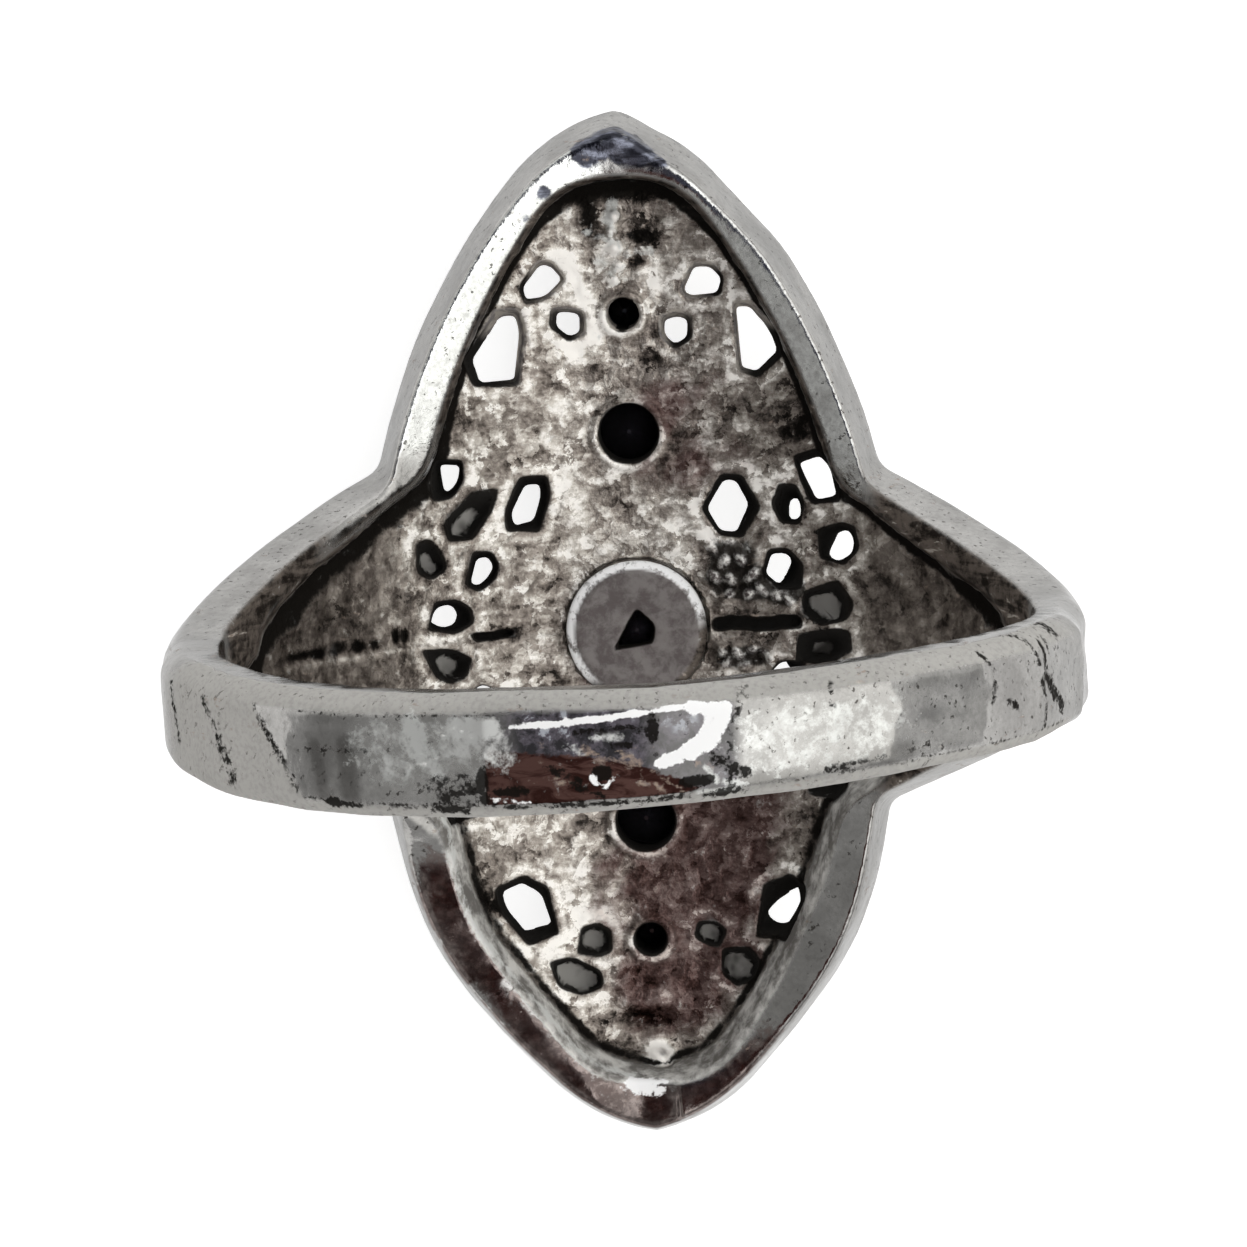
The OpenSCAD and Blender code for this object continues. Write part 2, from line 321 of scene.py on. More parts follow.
def recess_wall(x, y, z):
    """Distance to the wall of the recess, which stands steeper in the upper half."""
    draft = RECESS_DRAFT - 0.13 * ease(0.5, 3, y) + 0.12 * ease(-3, -5, y)
    return mouth(x, y) - draft * clip(BORE_R - hypot(x, z), -1.6, 0.4)


# Lumps and dents that the casting left on the plate. Columns as in WEAR, the amount being a height
LUMPS = [
    (-0.12, 9.35, 0.15, 0.15, 0.2), (-0.2, 9, 0.13, 0.13, 0.17), (-0.12, 8.62, 0.17, 0.17, 0.2),
    (0.18, 8.52, 0.13, 0.13, 0.15), (0.48, 8.58, 0.12, 0.12, 0.13), (-0.45, 8.8, 0.11, 0.11, 0.11),
    (-0.04, 8.22, 0.14, 0.14, 0.14), (-0.14, 7.88, 0.13, 0.13, 0.14), (0.42, 8.05, 0.16, 0.16, 0.07),
    (0, -9.8, 0.24, 0.24, 0.3), (0.22, -9.86, 0.2, 0.2, 0.26), (-0.4, -8.6, 0.3, 0.3, 0.08),
    (0.2, -8.55, 0.34, 0.34, 0.09), (-0.5, -8.92, 0.22, 0.22, -0.14), (-0.12, -8.98, 0.24, 0.24, -0.17),
    (0.28, -8.94, 0.22, 0.22, -0.15),
]

# Middles of the small round lumps beside the collet
BEADS = [
    (1.78, 1.8), (2.19, 1.93), (1.99, 1.47), (2.39, 1.53), (1.82, 1.13), (2.17, 1.02), (2.65, 1.12),
    (2.52, 0.72), (2.86, 0.8), (3.37, 0.88), (3.7, 0.98), (3.17, 0.66), (3.45, 0.56), (2.05, 0.66),
    (1.85, -0.5), (2.2, -0.62), (2.6, -0.52), (2.92, -0.68), (2.4, -0.92), (1.95, -0.9),
]
BEAD_R = 0.155
BEAD_RISE = 0.12
# Piercings beyond this distance along Y have a pale lip on the side towards the plate's middle
LIPS_FROM = 5.5


def beads(x, y):
    """One on the top of each small lump, falling to zero between them."""
    best = np.zeros_like(x)
    x, y = x + 0.05 * np.sin(9 * y + 2 * x), y + 0.05 * np.sin(11 * x)
    for place_x, place_y in BEADS:
        best = maximum(best, bump(hypot(x - place_x, y - place_y), BEAD_R))
    return best


def relief(x, y):
    """Raised marks on the back of the plate: collars, the seam's step and the casting's lumps."""
    height = blots(x, y, LUMPS) + BEAD_RISE * beads(x, y)
    for place, *_, hole in SETTINGS[1:]:
        height += 0.1 * bump(hypot(x, y - place) - hole / 2 - 0.1, 0.1)
    return height + 0.08 * ease(0.04, -0.1, y + 0.02 * np.sin(3 * x)) * ease(-1.6, -0.3, y)


def blots(x, y, table):
    """Soft spots that add up, from a table of places, sizes and amounts."""
    total = np.zeros_like(x)
    for place_x, place_y, half_x, half_y, amount in table:
        total += amount * np.exp(-((x - place_x) / half_x) ** 2 - ((y - place_y) / half_y) ** 2)
    return total


def camera_axes():
    """Place of the camera, in millimetres, and its forward, right and up directions."""
    tilted = Vector((0, math.sin(TILT), math.cos(TILT))) * math.cos(SIDE)
    direction = tilted + Vector((math.sin(SIDE), 0, 0))
    forward = -direction
    right = forward.cross(Vector((0, 1, 0))).normalized()
    up = right.cross(forward)
    right, up = (math.cos(ROLL) * right + math.sin(ROLL) * up,
                 -math.sin(ROLL) * right + math.cos(ROLL) * up)
    return direction * CAMERA_DISTANCE, forward, right, up


def seen_at(pixel, radius, drop=0, far=-1):
    """Where the camera's line through a pixel meets the near or far side of a round wall."""
    place, forward, right, up = camera_axes()
    line = (forward + (pixel[0] - ORIGIN_PIXEL[0]) / FOCAL_PIXELS * right
            + (ORIGIN_PIXEL[1] - pixel[1]) / FOCAL_PIXELS * up)
    rise = place.z + drop
    a = line.x ** 2 + line.z ** 2
    b = place.x * line.x + rise * line.z
    c = place.x ** 2 + rise ** 2 - radius ** 2
    reach = (far * math.sqrt(b * b - a * c) - b) / a
    return np.array(place + reach * line)


def on_plate(pixel, radius):
    return seen_at(pixel, radius, FACE_DROP, 1)[:2]


def hole_list():
    """Every piercing in millimetres: whether it is blind, its depth, its mouth and far end."""
    holes = []
    for mirrored, blind, *outlines in PIERCINGS:
        depth = WEB_DEPTH if blind else PLATE_T
        near_end, far_end = [
            np.array([on_plate(corner, radius) for corner in zip(outline[::2], outline[1::2])])
            for outline, radius in zip(outlines, (PLATE_R, PLATE_R + depth))
        ]
        holes.append((blind, depth, near_end, far_end))
        if mirrored:
            flip = np.array([1, -1])
            holes.append((blind, depth, near_end[::-1] * flip, far_end[::-1] * flip))
    return holes


HOLES = hole_list()


def polygon(x, y, corners, soft):
    """Distance to a convex outline with soft corners, listed clockwise."""
    distance = np.full_like(x, -FAR)
    for first, second in zip(corners, corners[1:] + corners[:1]):
        edge_x, edge_y = (second - first).T
        across = edge_x * (y - first[..., 1]) - edge_y * (x - first[..., 0])
        distance = smax(distance, across / hypot(edge_x, edge_y), soft)
    return distance


def pierced(x, y, below, hole):
    """Distance to a piercing, whose corners run straight from its mouth to its far end."""
    blind, depth, near_end, far_end = hole
    share = clip(below / depth, 0, 1)
    corners = [near + np.outer(share, far - near) for near, far in zip(near_end, far_end)]
    distance = maximum(polygon(x, y, corners, 0.1), -0.5 - below)
    if blind:
        distance = maximum(distance, WEB_T / 2 - np.abs(below - WEB_DEPTH - WEB_T / 2))
    return distance


def nearest_hole(x, y, z, holes=HOLES):
    best = np.full_like(x, FAR)
    below = over_plate(x, z)
    for hole in holes:
        corners = np.concatenate(hole[2:])
        low, high = corners.min(0) - 0.4, corners.max(0) + 0.4
        near = (x > low[0]) & (x < high[0]) & (y > low[1]) & (y < high[1]) & (z < 0)
        if near.any():
            best[near] = minimum(best[near], pierced(x[near], y[near], below[near], hole))
    return best


def round_hole(x, y, z, setting):
    """Distance to the hole behind a stone."""
    place, diameter, crown, _, hole = setting
    low = TABLE_Z + crown + GIRDLE_T + PAVILION_SHARE * diameter / 2
    return maximum(hypot(x, y - place) - hole / 2, maximum(low - z, z - HEAD_HIGH))


def stone_room(x, y, z, setting):
    """Distance to the room of a stone: its crown, its girdle and its pavilion."""
    place, diameter, crown, _, _ = setting
    girdle = TABLE_Z + crown
    room = diameter / 2 + STONE_GAP
    flat = hypot(x, y - place)
    crown_slope = (1 - TABLE_SHARE) * diameter / 2 / crown
    pavilion_slope = 0.5 / PAVILION_SHARE
    below = (flat - room + (girdle - z) * crown_slope) / hypot(1, crown_slope)
    above = (flat - room + (z - girdle - GIRDLE_T) * pavilion_slope) / hypot(1, pavilion_slope)
    return maximum(maximum(flat - room, below), above)


def bezel(x, y, z, setting):
    """Distance to the plain collar that holds a stone."""
    place, diameter, crown, wall, _ = setting
    low = TABLE_Z + crown - BEZEL_LIP
    root = (FACE_Z + PLATE_Z) / 2 + 0.25
    side = hypot(x, y - place) - diameter / 2 - wall
    return smax(side, maximum(low - z, z - root), 0.12)


CHAMFER_SLOPE = 0.5
CHAMFER_DROP = 0.1


def collet(x, y, z):
    """Distance to the disc behind the main stone, with its chamfered edge."""
    side = hypot(x, y) - COLLET_D / 2
    top = z - PLATE_Z - COLLET_H
    bevel = (CHAMFER_SLOPE * side + top + CHAMFER_DROP) / hypot(1, CHAMFER_SLOPE)
    return maximum(smax(smax(side, top, 0.1), bevel, 0.05), (FACE_Z + PLATE_Z) / 2 - z)


# Corners of the hole in the collet disc, clockwise
TRIANGLE = [(0.4, 0.1), (0.33, -0.27), (-0.5, -0.38), (0.02, 0.5)]


def triangle_hole(x, y, z):
    outline = polygon(x, y, [np.array(corner) for corner in TRIANGLE], 0.12)
    return maximum(outline, maximum(PLATE_Z - 0.4 - z, z - HEAD_HIGH))


# Blind slits along the seam. Columns: middle along X, half length, tilt, half width
SLITS = [(2.72, 1, 0.01, 0.13), (-3.25, 0.5, -0.03, 0.07)]
SLIT_DEPTH = 0.32


def seam_slits(x, y, z):
    best = np.full_like(x, FAR)
    uneven = 0.03 * np.sin(5 * x) + 0.008 * np.sin(17 * x)
    for middle, half, tilt, width in SLITS:
        across = np.abs(y - 0.04 - tilt * (x - middle) + uneven) - width
        best = minimum(best, smax(across, np.abs(x - middle) - half, 0.2))
    return maximum(best, over_plate(x, z) - SLIT_DEPTH)


def metal(points):
    """Signed distance, in millimetres, to the skin of the metal."""
    x, y, z = points.T
    body = smin(head(x, y, z), band(x, y, z), 0.3)
    body = smax(body, filed_flat(x, y, z), FILLET)
    body = smax(body, -recess(x, y, z), FILLET)
    for setting in SETTINGS:
        body = smin(body, bezel(x, y, z, setting), EDGE)
    body = smin(body, collet(x, y, z), 0.12)
    body = smax(body, BORE_R - hypot(x, z), FILLET)
    body = smax(body, -nearest_hole(x, y, z), 0.1)
    body = smax(body, -seam_slits(x, y, z), 0.06)
    for setting in SETTINGS:
        body = smax(body, -stone_room(x, y, z, setting), EDGE / 2)
    for setting in SETTINGS[1:]:
        body = smax(body, -round_hole(x, y, z, setting), EDGE)
    return smax(body, -triangle_hole(x, y, z), EDGE)


def in_chunks(function, points, size=400000):
    """A function of many points, worked out for some of them at a time."""
    return np.concatenate([function(points[i:i + size]) for i in range(0, len(points), size)])


def sample_field(low, high):
    """The distance on a grid. Only blocks near the skin are worked out in full."""
    blocks = np.ceil((high - low) / (STEP * BLOCK)).astype(int)
    index = np.argwhere(np.ones(blocks))
    centres = low + (index + 0.5) * STEP * BLOCK
    rough = in_chunks(metal, centres)
    values = np.kron(rough.reshape(blocks).astype(np.float32), np.ones([BLOCK] * 3, np.float32))
    # Half a block's diagonal, with room for the places where the field overstates the distance
    reach = STEP * BLOCK * math.sqrt(3) / 2 * 1.7 + 0.1
    near = index[np.abs(rough) < reach]
    offsets = np.argwhere(np.ones([BLOCK] * 3))
    for start in range(0, len(near), 500):
        cells = (near[start:start + 500, None] * BLOCK + offsets).reshape(-1, 3)
        values[tuple(cells.T)] = metal(low + cells * STEP)
    return values


def surface_net(values, low):
    """A mesh with one vertex in each grid cell that the skin passes through."""
    inside = values < 0
    cells, places, quads = [], [], []
    for axis in range(3):
        steps = np.eye(3, dtype=int)
        side_a, side_b = np.delete(steps, axis, 0)
        corner = np.argwhere(np.diff(inside, axis=axis))
        here, there = [values[tuple(ends.T)] for ends in (corner, corner + steps[axis])]
        place = corner + (here / (here - there))[:, None] * steps[axis]
        around = np.stack([
            np.ravel_multi_index(tuple((corner - step).T), values.shape)
            for step in (0 * side_a, side_a, side_a + side_b, side_b)
        ], 1)
        # The loop round an edge turns the other way for the middle axis
        flip = (here < 0) != (axis == 1)
        quads.append(np.where(flip[:, None], around[:, ::-1], around))
        cells.append(around.ravel())
        places.append(np.repeat(place, 4, 0))
    cells, places, quads = map(np.concatenate, (cells, places, quads))
    ids, back = np.unique(cells, return_inverse=True)
    middle = np.stack([np.bincount(back, column) for column in places.T], 1)
    return low + middle / np.bincount(back)[:, None] * STEP, np.searchsorted(ids, quads)


def gradient(points, h=0.01):
    """Slope of the distance at points, by small steps along each axis."""
    return np.stack([
        (in_chunks(metal, points + step) - in_chunks(metal, points - step)) / (2 * h)
        for step in h * np.eye(3)
    ], 1)


def settle(points):
    """Move each vertex onto the skin."""
    for _ in range(3):
        slope = gradient(points)
        length = maximum((slope ** 2).sum(1), 0.2)
        move = (in_chunks(metal, points) / length)[:, None] * slope
        reach = maximum(np.linalg.norm(move, axis=1), 1e-9)
        points = points - move * minimum(1, 0.5 * STEP / reach)[:, None]
    slope = gradient(points)
    return points, slope / maximum(np.linalg.norm(slope, axis=1), 1e-9)[:, None]


def fractal(points, scale, octaves, seed):
    """Fractal noise at points, with wrinkles about 1 / scale millimetres across."""
    offset = Vector((seed, seed * 1.7, -seed))
    return np.array([[noise.fractal(Vector(p) * scale + offset, 0.8, 2.1, octaves)] for p in points])


# Places on the plate that are rubbed bright, partly as painted highlight, or black where the amount is
# below zero, partly oxide and partly painted shade, as inside the upper tip.
# Columns: place along X, place along Y, half width, half length, amount
WEAR = [
    (-1.6, 6, 1.3, 3.2, 0.16), (-2.6, -5.6, 1.3, 2.4, 0.16), (2.2, 4.4, 1.2, 2.4, 0.08),
    (1.2, -6.2, 1.8, 2.6, -0.18), (-6.6, 0.6, 1.5, 1.6, -0.32), (6.6, 0.6, 1.5, 1.6, -0.32),
    (-1.2, 8.35, 0.28, 0.28, 1.3), (-0.95, 7.8, 0.26, 0.28, 1.2), (-1.5, 8.05, 0.2, 0.25, 0.8),
    (-1.4, 8.8, 0.25, 0.35, 0.7), (0.7, 7.75, 0.25, 0.3, 0.8), (-0.85, 7, 0.35, 0.5, 0.5),
    (-1.3, 6.3, 0.25, 0.35, 0.6), (-1.55, 5.1, 0.22, 0.3, 0.7), (-2.1, 1.35, 0.35, 0.2, 0.6),
    (-1.6, 1.8, 0.22, 0.22, 0.6), (-2.6, -0.55, 0.45, 0.25, 0.55), (-1.15, 5.7, 0.4, 1.1, 0.5),
    (-1.35, 3.5, 0.5, 1.1, 0.4), (-2.6, 2.6, 0.5, 0.45, 0.3), (0.1, 2.2, 1.3, 0.3, 0.6),
    (1.75, 2, 0.45, 0.3, 0.8), (-1.75, -5.45, 0.45, 1, 0.5), (-1.1, -6.5, 0.55, 0.35, 0.7),
    (-3.1, -4.2, 0.8, 0.6, 0.25), (-2.3, -8.1, 0.7, 0.25, 0.3), (3.25, -5.14, 0.5, 0.9, 0.2),
    (2.7, -8, 0.45, 0.35, 0.2), (0.6, 8, 0.4, 0.35, 0.2), (-0.1, 9.98, 1.6, 0.26, -2.2),
    (-0.68, 9.4, 0.26, 0.5, -1.8), (0.32, 8.28, 0.3, 0.1, -1.5), (0.5, 8.86, 0.3, 0.1, -1.2),
    (0.7, 6.75, 0.25, 0.4, -0.7), (0.55, 9, 0.4, 0.5, -0.6), (4, 5.08, 0.35, 1.1, -0.6),
    (4.1, 2.6, 0.5, 1.3, -0.35), (3, 0.9, 0.9, 0.55, -0.45), (-4.45, 4.1, 0.4, 0.6, -0.6),
    (-3.8, 4.6, 0.2, 0.9, -0.5), (2.9, 0.16, 1.3, 0.16, -0.6), (-2.9, 0.1, 0.9, 0.1, -0.6),
    (-0.2, -8.95, 0.8, 0.28, -1.1), (0.1, -8.05, 0.55, 0.07, -0.8), (3.75, -4.6, 0.25, 1.1, -0.5),
    (-3.55, -6, 0.3, 0.5, -1.3), (-2.3, -8.6, 0.3, 0.22, -0.8), (-1.05, -9.6, 0.45, 0.18, -1.2),
    (3, -7.5, 0.25, 0.35, -0.8), (3.3, 4.9, 0.4, 0.5, -0.5), (3.75, 4.2, 0.35, 0.5, -0.7),
    (3, 3.9, 0.35, 0.25, -0.4), (2.3, -0.8, 1.3, 0.3, -0.35), (-7.4, 0.12, 0.3, 0.08, -2.4),
    (-7.05, 0.1, 0.12, 0.11, -3.2), (-6.62, 0.14, 0.16, 0.11, -3.2), (-6.2, 0.1, 0.14, 0.12, -3.2),
    (-5.85, 0.12, 0.1, 0.1, -3.2), (-5.4, 0.22, 0.07, 0.15, -3.2), (-5.2, 0.22, 0.07, 0.15, -3.2),
    (-6.4, -0.12, 1.3, 0.07, 1.2),
]

# Places where the oxide is painted red-brown, a painted reflection of the dark warm gap where the
# camera stands. Columns as in WEAR
RED_REFLECTIONS = [
    (1.1, -5.6, 2.1, 2.6, 1.1), (0.3, -8.3, 1.2, 1, 0.9), (1.6, -3.2, 1.6, 1.3, 0.9),
    (0.9, 5.3, 1.7, 1.6, 0.5), (1.5, 3.6, 1.6, 0.9, 0.48), (-0.6, -1, 1.2, 0.5, 0.55),
    (0.2, -0.6, 0.9, 0.5, 0.4),
]

# Clusters of small round lumps, painted light on their tops and black between them, partly oxide and
# partly painted shade. Columns as in WEAR
BUBBLES = [
    (2.15, 1.45, 0.55, 0.6, 1.2), (2.7, 0.9, 0.8, 0.35, 1.1), (3.45, 0.8, 0.4, 0.4, 1),
    (2.35, -0.7, 0.8, 0.3, 0.9),
]

# Strokes: black scores and cracks, with black patches of painted dark reflection in the shank's middle;
# painted soft shade; bright rough metal with painted highlights; painted white highlights; and tan
# swirls in the painted red-brown reflection. Columns: one end, the other end, half width, amount. Ends
# are places in millimetres, or pixels of the photograph that fall on the outside of the shank
# Black scores and cracks, and black patches of painted dark reflection in the shank's middle
SCORES_AND_DARK_REFLECTION = [
    (-8.77, 0.44, 4.6, -8.4, -0.3, 5.2, 0.12, 0.55), (-8.4, -0.3, 5.2, -8.15, -1.08, 5.63, 0.16, 0.6),
    (-9.6, 0.6, 2.6, -9.4, -0.5, 3, 0.14, 0.5), (-7.6, 0.5, 6.34, -6.63, -1.17, 7.35, 0.09, 0.55),
    (-6.6, -0.3, 7.4, -5.2, -0.3, 8.45, 0.08, 0.5), (-6, -1.36, 7.87, -3.2, -1.46, 9.37, 0.09, 0.9),
    (-4.1, -0.98, 9.02, -3.2, -0.84, 9.37, 0.15, 0.65), (-3.7, -1.2, 9.19, -2.9, -1, 9.46, 0.13, 0.75),
    (-2.85, -0.95, 9.48, -2.75, -0.65, 9.51, 0.09, 0.9),
    (-2.55, -1.08, 9.57, -2, -1.12, 9.7, 0.08, 0.9), (601, 773, 605, 773, 0.12, 1.6),
    (576, 731, 640, 729, 0.09, 0.7), (614, 745, 628, 744, 0.08, 0.9), (652, 716, 653, 737, 0.11, 0.9),
    (548, 768, 578, 780, 0.08, 0.7), (572, 785, 604, 796, 0.06, 0.7), (500, 792, 526, 791, 0.08, 1),
    (484, 770, 486, 800, 0.1, 0.8), (505, 807, 600, 804, 0.06, 0.8), (600, 804, 690, 796, 0.06, 0.8),
    (686, 782, 708, 779, 0.1, 1.2), (714, 757, 745, 772, 0.12, 0.7), (706, 795, 742, 790, 0.07, 0.8),
    (2.22, 0.5, 9.65, 2.16, -1.1, 9.66, 0.08, 0.55), (4.1, -1, 9, 6.3, -0.72, 7.7, 0.08, 0.6),
    (1000, 626, 1032, 637, 0.06, 0.6), (1032, 637, 1041, 665, 0.07, 0.6),
    (1046, 645, 1050, 668, 0.09, 0.75), (1048, 674, 1058, 690, 0.14, 0.85),
    (1058, 690, 1070, 706, 0.15, 0.85), (1054, 632, 1053, 652, 0.08, 0.6),
    (1044, 683, 1050, 700, 0.08, 0.75), (1050, 700, 1048, 726, 0.08, 0.75),
    (1066, 624, 1069, 628, 0.2, 0.65), (1063, 648, 1065, 662, 0.1, 0.5),
    (1010, 702, 1018, 706, 0.09, 0.75), (984, 655, 996, 672, 0.06, 0.65),
    (996, 683, 993, 702, 0.08, 0.65), (831, 684, 831, 704, 0.06, 0.6), (742, 690, 737, 712, 0.08, 0.6),
]
# Painted soft shade on the shank and on the rim's lower right
SHADES = [
    (-6.3, -0.25, 7.7, -6.1, -1.2, 7.82, 0.16, 0.7), (-5.6, -0.2, 8.15, -5.55, -1.2, 8.2, 0.24, 0.8),
    (-5.9, 0, 7.95, -5.9, -1.2, 7.95, 0.6, 0.35), (-9.3, 0, 3.4, -8, 0, 5.8, 1.1, 0.2),
    (7.9, 0.3, 6, 8.6, -0.3, 4.9, 0.9, 0.3), (2.6, -1.1, 9.55, 5.8, -0.8, 8, 0.18, 0.5),
    (4.7, -5.6, -7.6, 2.7, -9.2, -8.3, 0.5, 0.3), (508, 738, 524, 744, 0.2, 0.3),
]
# Bright rough marks, with painted highlights among them in and beside the shank's middle
ROUGH_MARKS_AND_HIGHLIGHTS = [
    (-4.2, 0.25, 8.97, -4.05, -0.05, 9.03, 0.22, 0.95), (-3.3, 0.22, 9.33, -2.6, 0.22, 9.55, 0.22, 1),
    (-3.6, -0.15, 9.22, -2.6, -0.2, 9.55, 0.4, 0.7), (-5.1, -0.25, 8.5, -4.1, -0.6, 9, 0.5, 0.55),
    (400, 740, 440, 772, 0.18, 0.75), (592, 738, 606, 734, 0.08, 0.65), (607, 738, 620, 736, 0.1, 0.8),
    (562, 745, 582, 751, 0.08, 0.5), (704, 766, 716, 781, 0.06, 0.9), (716, 781, 748, 784, 0.05, 0.8),
    (696, 792, 740, 788, 0.05, 0.9), (755, 740, 880, 722, 0.6, 0.55),
    (-0.14, 9.63, -9.75, -0.25, 9.21, -9.7, 0.12, 0.9),
    (-0.25, 9.21, -9.7, -0.18, 8.84, -9.7, 0.1, 0.8), (-0.78, 9.01, -9.7, -0.2, 8.8, -9.75, 0.09, 1),
    (-0.18, 8.84, -9.75, 0.05, 8.6, -9.75, 0.1, 0.8), (0, 8.5, -9.75, 0.67, 8.54, -9.75, 0.1, 0.7),
    (-0.47, 8.32, -9.75, 0.07, 7.89, -9.75, 0.16, 0.5),
]
# Painted highlights: the shine along the shank's upper edge, the spots beside it, the rim's lower tip
HIGHLIGHT_STROKES = [
    (512, 727, 560, 723, 0.06, 0.85), (560, 723, 604, 718, 0.066, 0.9),
    (604, 718, 650, 711, 0.062, 0.85), (650, 711, 686, 706, 0.066, 0.85),
    (690, 707, 726, 707, 0.11, 0.9), (719, 713, 712, 734, 0.19, 1), (712, 736, 690, 750, 0.17, 1),
    (690, 751, 660, 763, 0.12, 0.9), (593, 778, 594, 779, 0.075, 0.85),
    (596, 784, 606, 787, 0.05, 0.72), (606, 787, 614, 778, 0.05, 0.72),
    (494, 799, 530, 803, 0.055, 0.72), (-0.5, -10.28, -8.79, 0.12, -10.36, -8.78, 0.17, 0.95),
]
# Tan swirls in the painted reflection on the shank's middle
REFLECTION_SWIRLS = [
    (584, 748, 604, 762, 0.09, 0.6), (604, 758, 640, 768, 0.08, 0.65), (617, 750, 648, 766, 0.05, 0.65),
    (638, 768, 646, 784, 0.07, 0.6), (648, 767, 682, 790, 0.07, 0.65), (655, 780, 668, 792, 0.05, 0.55),
    (690, 760, 712, 768, 0.08, 0.5), (544, 776, 575, 784, 0.07, 0.35),
]

# Painted reflections of the dark gap where the camera stands, on the rim's back: bluish at the upper
# tip and red-brown at the lower left and tip. Columns: place along X, Y and Z, radius, amount
RIM_BLUE_REFLECTIONS = [
    (0, 11.2, -8.65, 0.6, 1), (0.55, 10.9, -8.62, 0.42, 0.9), (-0.7, 10.85, -8.62, 0.34, 0.9),
    (1.05, 10.55, -8.58, 0.25, 0.5), (-1.6, 10, -8.5, 0.22, 0.7), (-2.05, 9.45, -8.4, 0.18, 0.5),
]
RIM_RED_REFLECTIONS = [
    (-4.6, -5.6, -7.6, 1.1, 0.8), (-3.9, -7.4, -7.9, 1.1, 0.8), (-2.7, -9.2, -8.4, 1, 0.8),
    (-1.4, -10.4, -8.7, 0.9, 0.8), (0.1, -11.2, -8.8, 0.9, 1.1), (1.9, -10.1, -8.5, 0.7, 0.8),
    (2.7, -9.3, -8.3, 0.6, 0.5), (1, -10.8, -8.7, 0.6, 0.9),
]


def balls(points, table):
    """Soft balls that add up, from a table of places, radii and amounts."""
    total = np.zeros(len(points))
    for *place, radius, amount in table:
        total += amount * np.exp(-((points - place) ** 2).sum(1) / radius ** 2)
    return total


def on_round(points):
    """Points of the shank moved in or out to the round on which its marks are drawn."""
    x, y, z = points.T
    scale = np.where(z > 0, MARK_R / maximum(hypot(x, z), 1), 1)
    return np.stack([x * scale, y, z * scale], 1)


def strokes(points, table):
    """One in the middle of each stroke, falling to zero at twice its half width."""
    best = np.zeros(len(points))
    for *ends, half, amount in table:
        ends = np.reshape(ends, (2, -1)).tolist()
        if len(ends[0]) == 2:
            ends = [seen_at(pixel, MARK_R) for pixel in ends]
        start, end = on_round(np.array(ends))
        along = end - start
        t = clip((points - start) @ along / (along @ along), 0, 1)
        away = np.linalg.norm(points - start - np.outer(t, along), axis=1)
        best = maximum(best, amount * ease(2 * half, 0.4 * half, away))
    return best


def recess_masks(x, y, z):
    """Shares of the recess, of its wall and of the metal on its floor that was left as cast."""
    outline = recess_wall(x, y, z)
    rise = over_plate(x, z) + relief(x, y)
    in_recess = ease(0.12, 0.02, maximum(outline, rise)) * ease(0.2, -0.2, z - RECESS_HIGH)
    on_wall = ease(-0.10, -0.32, rise)
    on_disc = (hypot(x, y) < COLLET_D / 2 + 0.04) & (z > PLATE_Z + 0.05) & (z < 0)
    return outline, rise, in_recess, on_wall, on_disc, in_recess * (1 - on_wall) * ~on_disc


def lips(x, y, z):
    """Pale lips on the side of the upper piercings that faces the plate's middle."""
    lip = np.zeros_like(x)
    for _, _, near_end, _ in HOLES:
        place_x, place_y = near_end.mean(0)
        if place_y > LIPS_FROM:
            off = maximum(hypot(x - place_x, y - place_y), 0.01)
            outward = (np.sign(place_x) * (x - place_x) - 0.8 * (y - place_y)) / off
            lip = maximum(lip, ease(0.7, -0.3, outward) * (off < 1.1) * (z < -7))
    return lip


